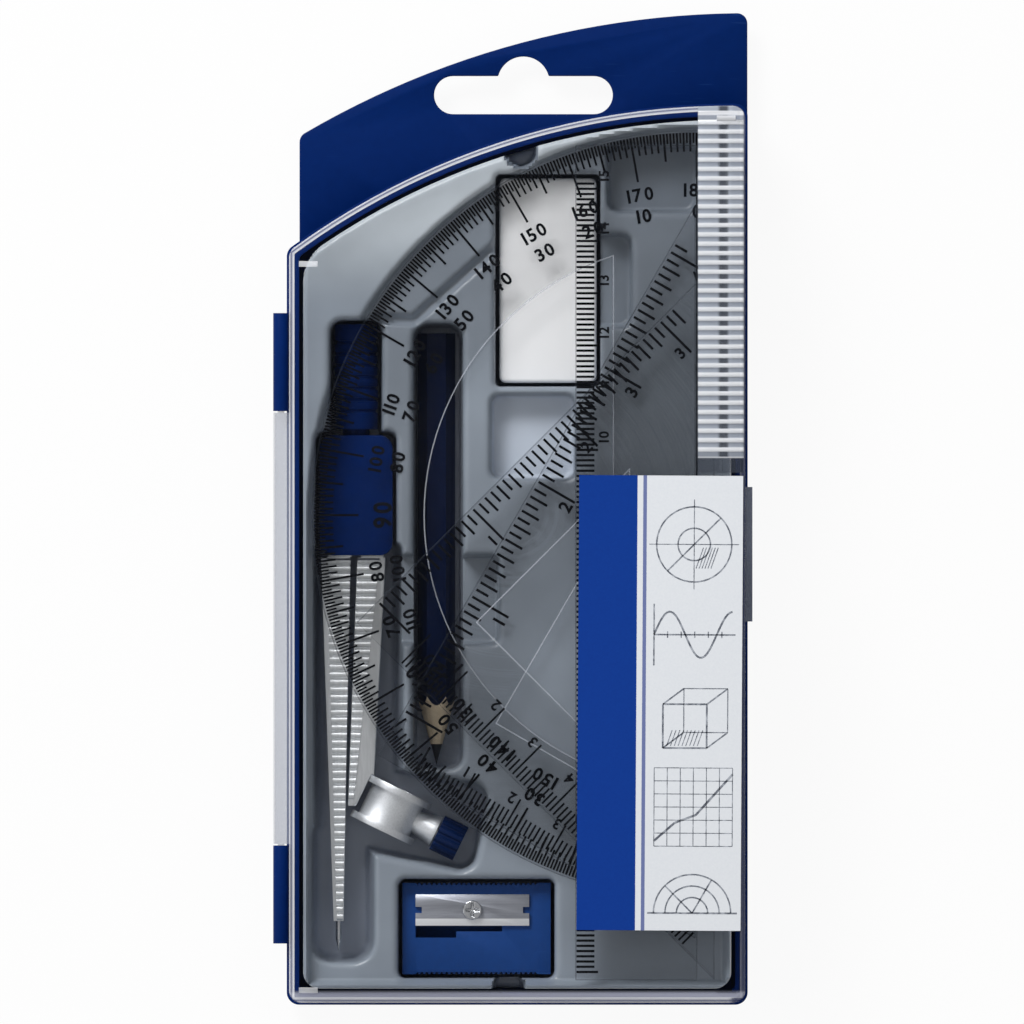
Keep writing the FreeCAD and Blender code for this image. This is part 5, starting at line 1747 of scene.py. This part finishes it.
@dataclass
class Compass:
    """Handle, head cover, ribbed legs, needle, pencil clamp and its screw."""

    cover_edge: float = 0.55
    handle_edge: float = 0.18
    leg_edge: float = 0.2
    clamp_edge: float = 0.32
    knob_edge: float = 0.16
    rib_pitch: float = 1.45
    rib_radius: float = 0.62
    rib_rise: float = 0.42
    leg_top: float = 13.5
    strip: float = 1.1
    strip_taper: float = 0.45
    rib_first: float = -1.4
    rib_inset: float = 0.15

    def build(self) -> None:
        """Round and dress every piece of the compass."""
        pieces = (
            ("compass_head_cover", "head_cover", COMPASS_NAVY, self.cover_edge, Body.BASE, "compass_blue"),
            ("compass_handle", "handle_grip", COMPASS_NAVY, self.handle_edge, Body.BASE, "compass_blue"),
            ("compass_pencil_clamp", "pencil_clamp", CLAMP_METAL, self.clamp_edge, Body.PENCIL_SIDE,
             "leg_metal"),
            ("clamp_screw_knob", "screw_knob", KNOB_NAVY, self.knob_edge, Body.SCREW, "compass_blue"),
        )
        for piece in pieces:
            Bench.rounded(*piece)
        self.leg("compass_needle_leg", "needle_leg", Body.NEEDLE_SIDE, -70.0, -1)
        self.leg("compass_lead_leg", "pencil_leg", Body.PENCIL_SIDE, -46.5, 1)
        for node in ("compass_pivot_pins", "compass_needle", "clamp_screw_shank"):
            Bench.keep(node, STEEL)

    def rib(self) -> bpy.types.Mesh:
        """Model one rib: half of a flattened bar one unit long across the leg.

        Returns:
            Its mesh.
        """
        piece = Bench.primitive("leg_rib", LEG_METAL, lambda: bpy.ops.mesh.primitive_cylinder_add(
            vertices=16, radius=self.rib_radius * MM, depth=1.0, rotation=(0, math.pi / 2, 0)))
        Bench.edit(piece, lambda: bpy.ops.mesh.bisect(plane_co=(0, 0, -0.05 * MM), plane_no=(0, 0, 1),
                                                      clear_inner=True, use_fill=True))
        mesh = piece.data
        mesh.transform(Matrix.Diagonal((1, 1, self.rib_rise / self.rib_radius, 1)))
        bpy.data.objects.remove(piece)
        return mesh

    def leg(self, node: str, name: str, body: Body, low: float, outer: int) -> None:
        """Round a leg, add the ribs across its face and dress it.

        Args:
            node: Name of its solid.
            name: Name of the piece.
            body: Body that it rides on.
            low: Lowest rib's place along the leg.
            outer: -1 if the plain strip is on the left, 1 if it is on the right.
        """
        piece = Bench.copy(node, name, LEG_METAL)
        corners = np.array([v.co for v in piece.data.vertices]) / MM
        top_row = corners[np.abs(corners[:, 1] + 0.5) < 0.6]
        end_row = corners[corners[:, 1] < corners[:, 1].min() + 0.05]
        high_y, low_y = float(top_row[:, 1].mean()), float(end_row[:, 1].min())
        Bench.bevel(piece, self.leg_edge)
        model = self.rib()
        ribs = []
        count = int((self.rib_first - low) / self.rib_pitch) + 1
        for index in range(count):
            at = self.rib_first - index * self.rib_pitch
            share = (high_y - at) / (high_y - low_y)
            left = (1 - share) * top_row[:, 0].min() + share * end_row[:, 0].min()
            right = (1 - share) * top_row[:, 0].max() + share * end_row[:, 0].max()
            strip = self.strip * (1 - self.strip_taper * share)
            at_left, at_right = (strip, self.rib_inset) if outer < 0 else (self.rib_inset, strip)
            left, right = left + at_left, right - at_right
            mesh = model.copy()
            mesh.transform(Matrix.Translation(((left + right) / 2 * MM, at * MM, self.leg_top * MM))
                           @ Matrix.Diagonal(((right - left) * MM, 1, 1, 1)))
            ribs.append(mesh)
        Bench.absorb(piece, ribs)
        for mesh in ribs + [model]:
            bpy.data.meshes.remove(mesh)
        Bench.smooth(piece, 50.0)
        Bench.hand_over(piece, body, "leg_metal", node)


@dataclass
class LoosePieces:
    """Pencil, eraser and sharpener."""

    eraser_edge: float = 0.75
    body_edge: float = 0.22
    blade_edge: float = 0.1
    screw_edge: float = 0.25
    rib_radius: float = 0.34
    rib_pitch: float = 0.95
    rib_count: int = 24
    rib_left: float = -18.75
    rib_rows: tuple[float, float] = (-63.36, -80.16)
    rib_low: float = 4.6
    rib_high: float = 14.75

    def build(self) -> None:
        """Round and dress the pencil, the eraser and the sharpener."""
        casing = Bench.copy("pencil_casing", "pencil_wood_casing", PENCIL)
        Bench.smooth(casing, 28.0)
        Bench.hand_over(casing, Body.BASE, "pencil_wood", "pencil_casing")
        Bench.keep("pencil_lead", GRAPHITE)
        Bench.rounded("eraser_block", "eraser_rubber_block", ERASER, self.eraser_edge, Body.BASE,
                      "eraser_white", 3)
        self.sharpener()

    def sharpener(self) -> None:
        """Round the sharpener's pieces and add the grip ribs of its sides."""
        body = Bench.copy("sharpener_body", "sharpener_moulding", SHARPENER_NAVY)
        Bench.bevel(body, self.body_edge)
        model = Bench.primitive("side_rib", SHARPENER_NAVY, lambda: bpy.ops.mesh.primitive_cylinder_add(
            vertices=12, radius=self.rib_radius * MM, depth=(self.rib_high - self.rib_low) * MM))
        Bench.bevel(model, 0.08, 1)
        ribs = []
        for row in self.rib_rows:
            for index in range(self.rib_count):
                mesh = model.data.copy()
                mesh.transform(Matrix.Translation(((self.rib_left + index * self.rib_pitch) * MM, row * MM,
                                                   (self.rib_high + self.rib_low) / 2 * MM)))
                ribs.append(mesh)
        Bench.absorb(body, ribs)
        for mesh in ribs:
            bpy.data.meshes.remove(mesh)
        bpy.data.objects.remove(model)
        Bench.smooth(body)
        Bench.hand_over(body, Body.BASE, "sharpener_blue", "sharpener_body")
        Bench.rounded("sharpener_blade", "sharpener_blade_steel", BLADE_STEEL, self.blade_edge, Body.BASE,
                      "steel")
        Bench.rounded("sharpener_screw", "blade_screw", STEEL, self.screw_edge, Body.BASE, "steel")


@dataclass
class Studio:
    """Pale floor, soft lamps, dim ceiling and the camera above the case."""

    middle: Point = (-1.0, 8.1)
    field: float = 196.2
    distance: float = 8.0
    floor_size: float = 24.0
    floor_level: float = -2.3
    sensor: float = 36.0
    world_light: float = 0.42
    ceiling_light: float = 0.5
    lamp_target: tuple[float, float, float] = (0.0, 0.0, 0.01)
    lamps: tuple[tuple, ...] = (("key_lamp", (-0.5, 0.9, 0.72), (0.6, 0.36), 13.0),
                                ("side_lamp", (-0.95, -0.25, 0.7), (0.5, 0.9), 1.6))
    floor_grey: float = 0.86
    floor_glow: float = 0.93
    far: float = 60.0
    above: float = 0.02

    def build(self) -> None:
        """Set up the floor, the light and the camera."""
        self.floor()
        self.world()
        for lamp in self.lamps:
            self.lamp(*lamp)
        self.camera()
        bpy.context.scene.view_settings.view_transform = "Standard"
        bpy.context.scene.cycles.transparent_max_bounces = 32

    def floor(self) -> None:
        """Lay a pale floor that looks white and still takes the shadow."""
        Bench.clear()
        bpy.ops.mesh.primitive_plane_add(size=self.floor_size, location=(0, 0, self.floor_level * MM))
        floor = bpy.context.active_object
        floor.name = "studio_floor"
        material = bpy.data.materials.new("studio_floor_white")
        material.use_nodes = True
        graph = Graph(material.node_tree)
        material.node_tree.nodes.clear()
        paper = graph.add("ShaderNodeBsdfDiffuse")
        paper.inputs["Color"].default_value = (self.floor_grey,) * 3 + (1,)
        glow = graph.add("ShaderNodeEmission")
        path = graph.add("ShaderNodeLightPath")
        seen = graph.math("MAXIMUM", path.outputs["Is Camera Ray"], path.outputs["Is Glossy Ray"])
        seen = graph.math("MAXIMUM", seen, path.outputs["Is Transmission Ray"])
        blend = graph.add("ShaderNodeMixShader")
        graph.feed(blend.inputs[0], graph.math("MULTIPLY", seen, self.floor_glow))
        graph.feed(blend.inputs[1], paper.outputs[0])
        graph.feed(blend.inputs[2], glow.outputs[0])
        graph.feed(graph.add("ShaderNodeOutputMaterial").inputs["Surface"], blend.outputs[0])
        floor.data.materials.append(material)

    def world(self) -> None:
        """Light the room evenly, with a dimmer ceiling above the case."""
        world = bpy.data.worlds.new("studio_world")
        world.use_nodes = True
        graph = Graph(world.node_tree)
        sky = next(n for n in world.node_tree.nodes if n.type == "BACKGROUND")
        place = graph.add("ShaderNodeTexCoord")
        split = graph.add("ShaderNodeSeparateXYZ")
        graph.feed(split.inputs[0], place.outputs["Generated"])
        overhead = graph.span(split.outputs[2], 0.9, 0.985)
        light = graph.mix(overhead, (self.world_light,) * 3 + (1,), (self.ceiling_light,) * 3 + (1,))
        path = graph.add("ShaderNodeLightPath")
        graph.feed(sky.inputs["Color"], graph.mix(path.outputs["Is Camera Ray"], light, (1, 1, 1, 1)))
        bpy.context.scene.world = world

    def lamp(self, name: str, spot: tuple[float, float, float], size: tuple[float, float],
             power: float) -> None:
        """Hang one soft lamp, turned towards the case.

        Args:
            name: Its name.
            spot: Its place in metres.
            size: Its width and height.
            power: Its power in watts.
        """
        data = bpy.data.lights.new(name, "AREA")
        data.shape = "RECTANGLE"
        data.size, data.size_y = size
        data.energy = power
        lamp = bpy.data.objects.new(name, data)
        lamp.location = spot
        aim = Vector(self.lamp_target) - Vector(spot)
        lamp.rotation_euler = aim.to_track_quat("-Z", "Y").to_euler()
        bpy.context.scene.collection.objects.link(lamp)

    def camera(self) -> None:
        """Look straight down with a long lens."""
        data = bpy.data.cameras.new("overhead_camera")
        data.sensor_width = self.sensor
        data.lens = self.sensor * self.distance / (self.field * MM)
        data.clip_end = self.far
        camera = bpy.data.objects.new("overhead_camera", data)
        camera.location = (self.middle[0] * MM, self.middle[1] * MM, self.distance + self.above)
        bpy.context.scene.collection.objects.link(camera)
        bpy.context.scene.camera = camera


def main() -> None:
    """Build every sub-assembly in order and note the sizes."""
    logging.basicConfig(level=logging.INFO, format="%(name)s %(message)s")
    for part in (Studio(), CaseShells(), FrontLabel(), InstrumentTray(), ClearPlates(), Compass(),
                 LoosePieces()):
        part.build()
        LOG.info("%s done", type(part).__name__)


if __name__ == "__main__":
    main()
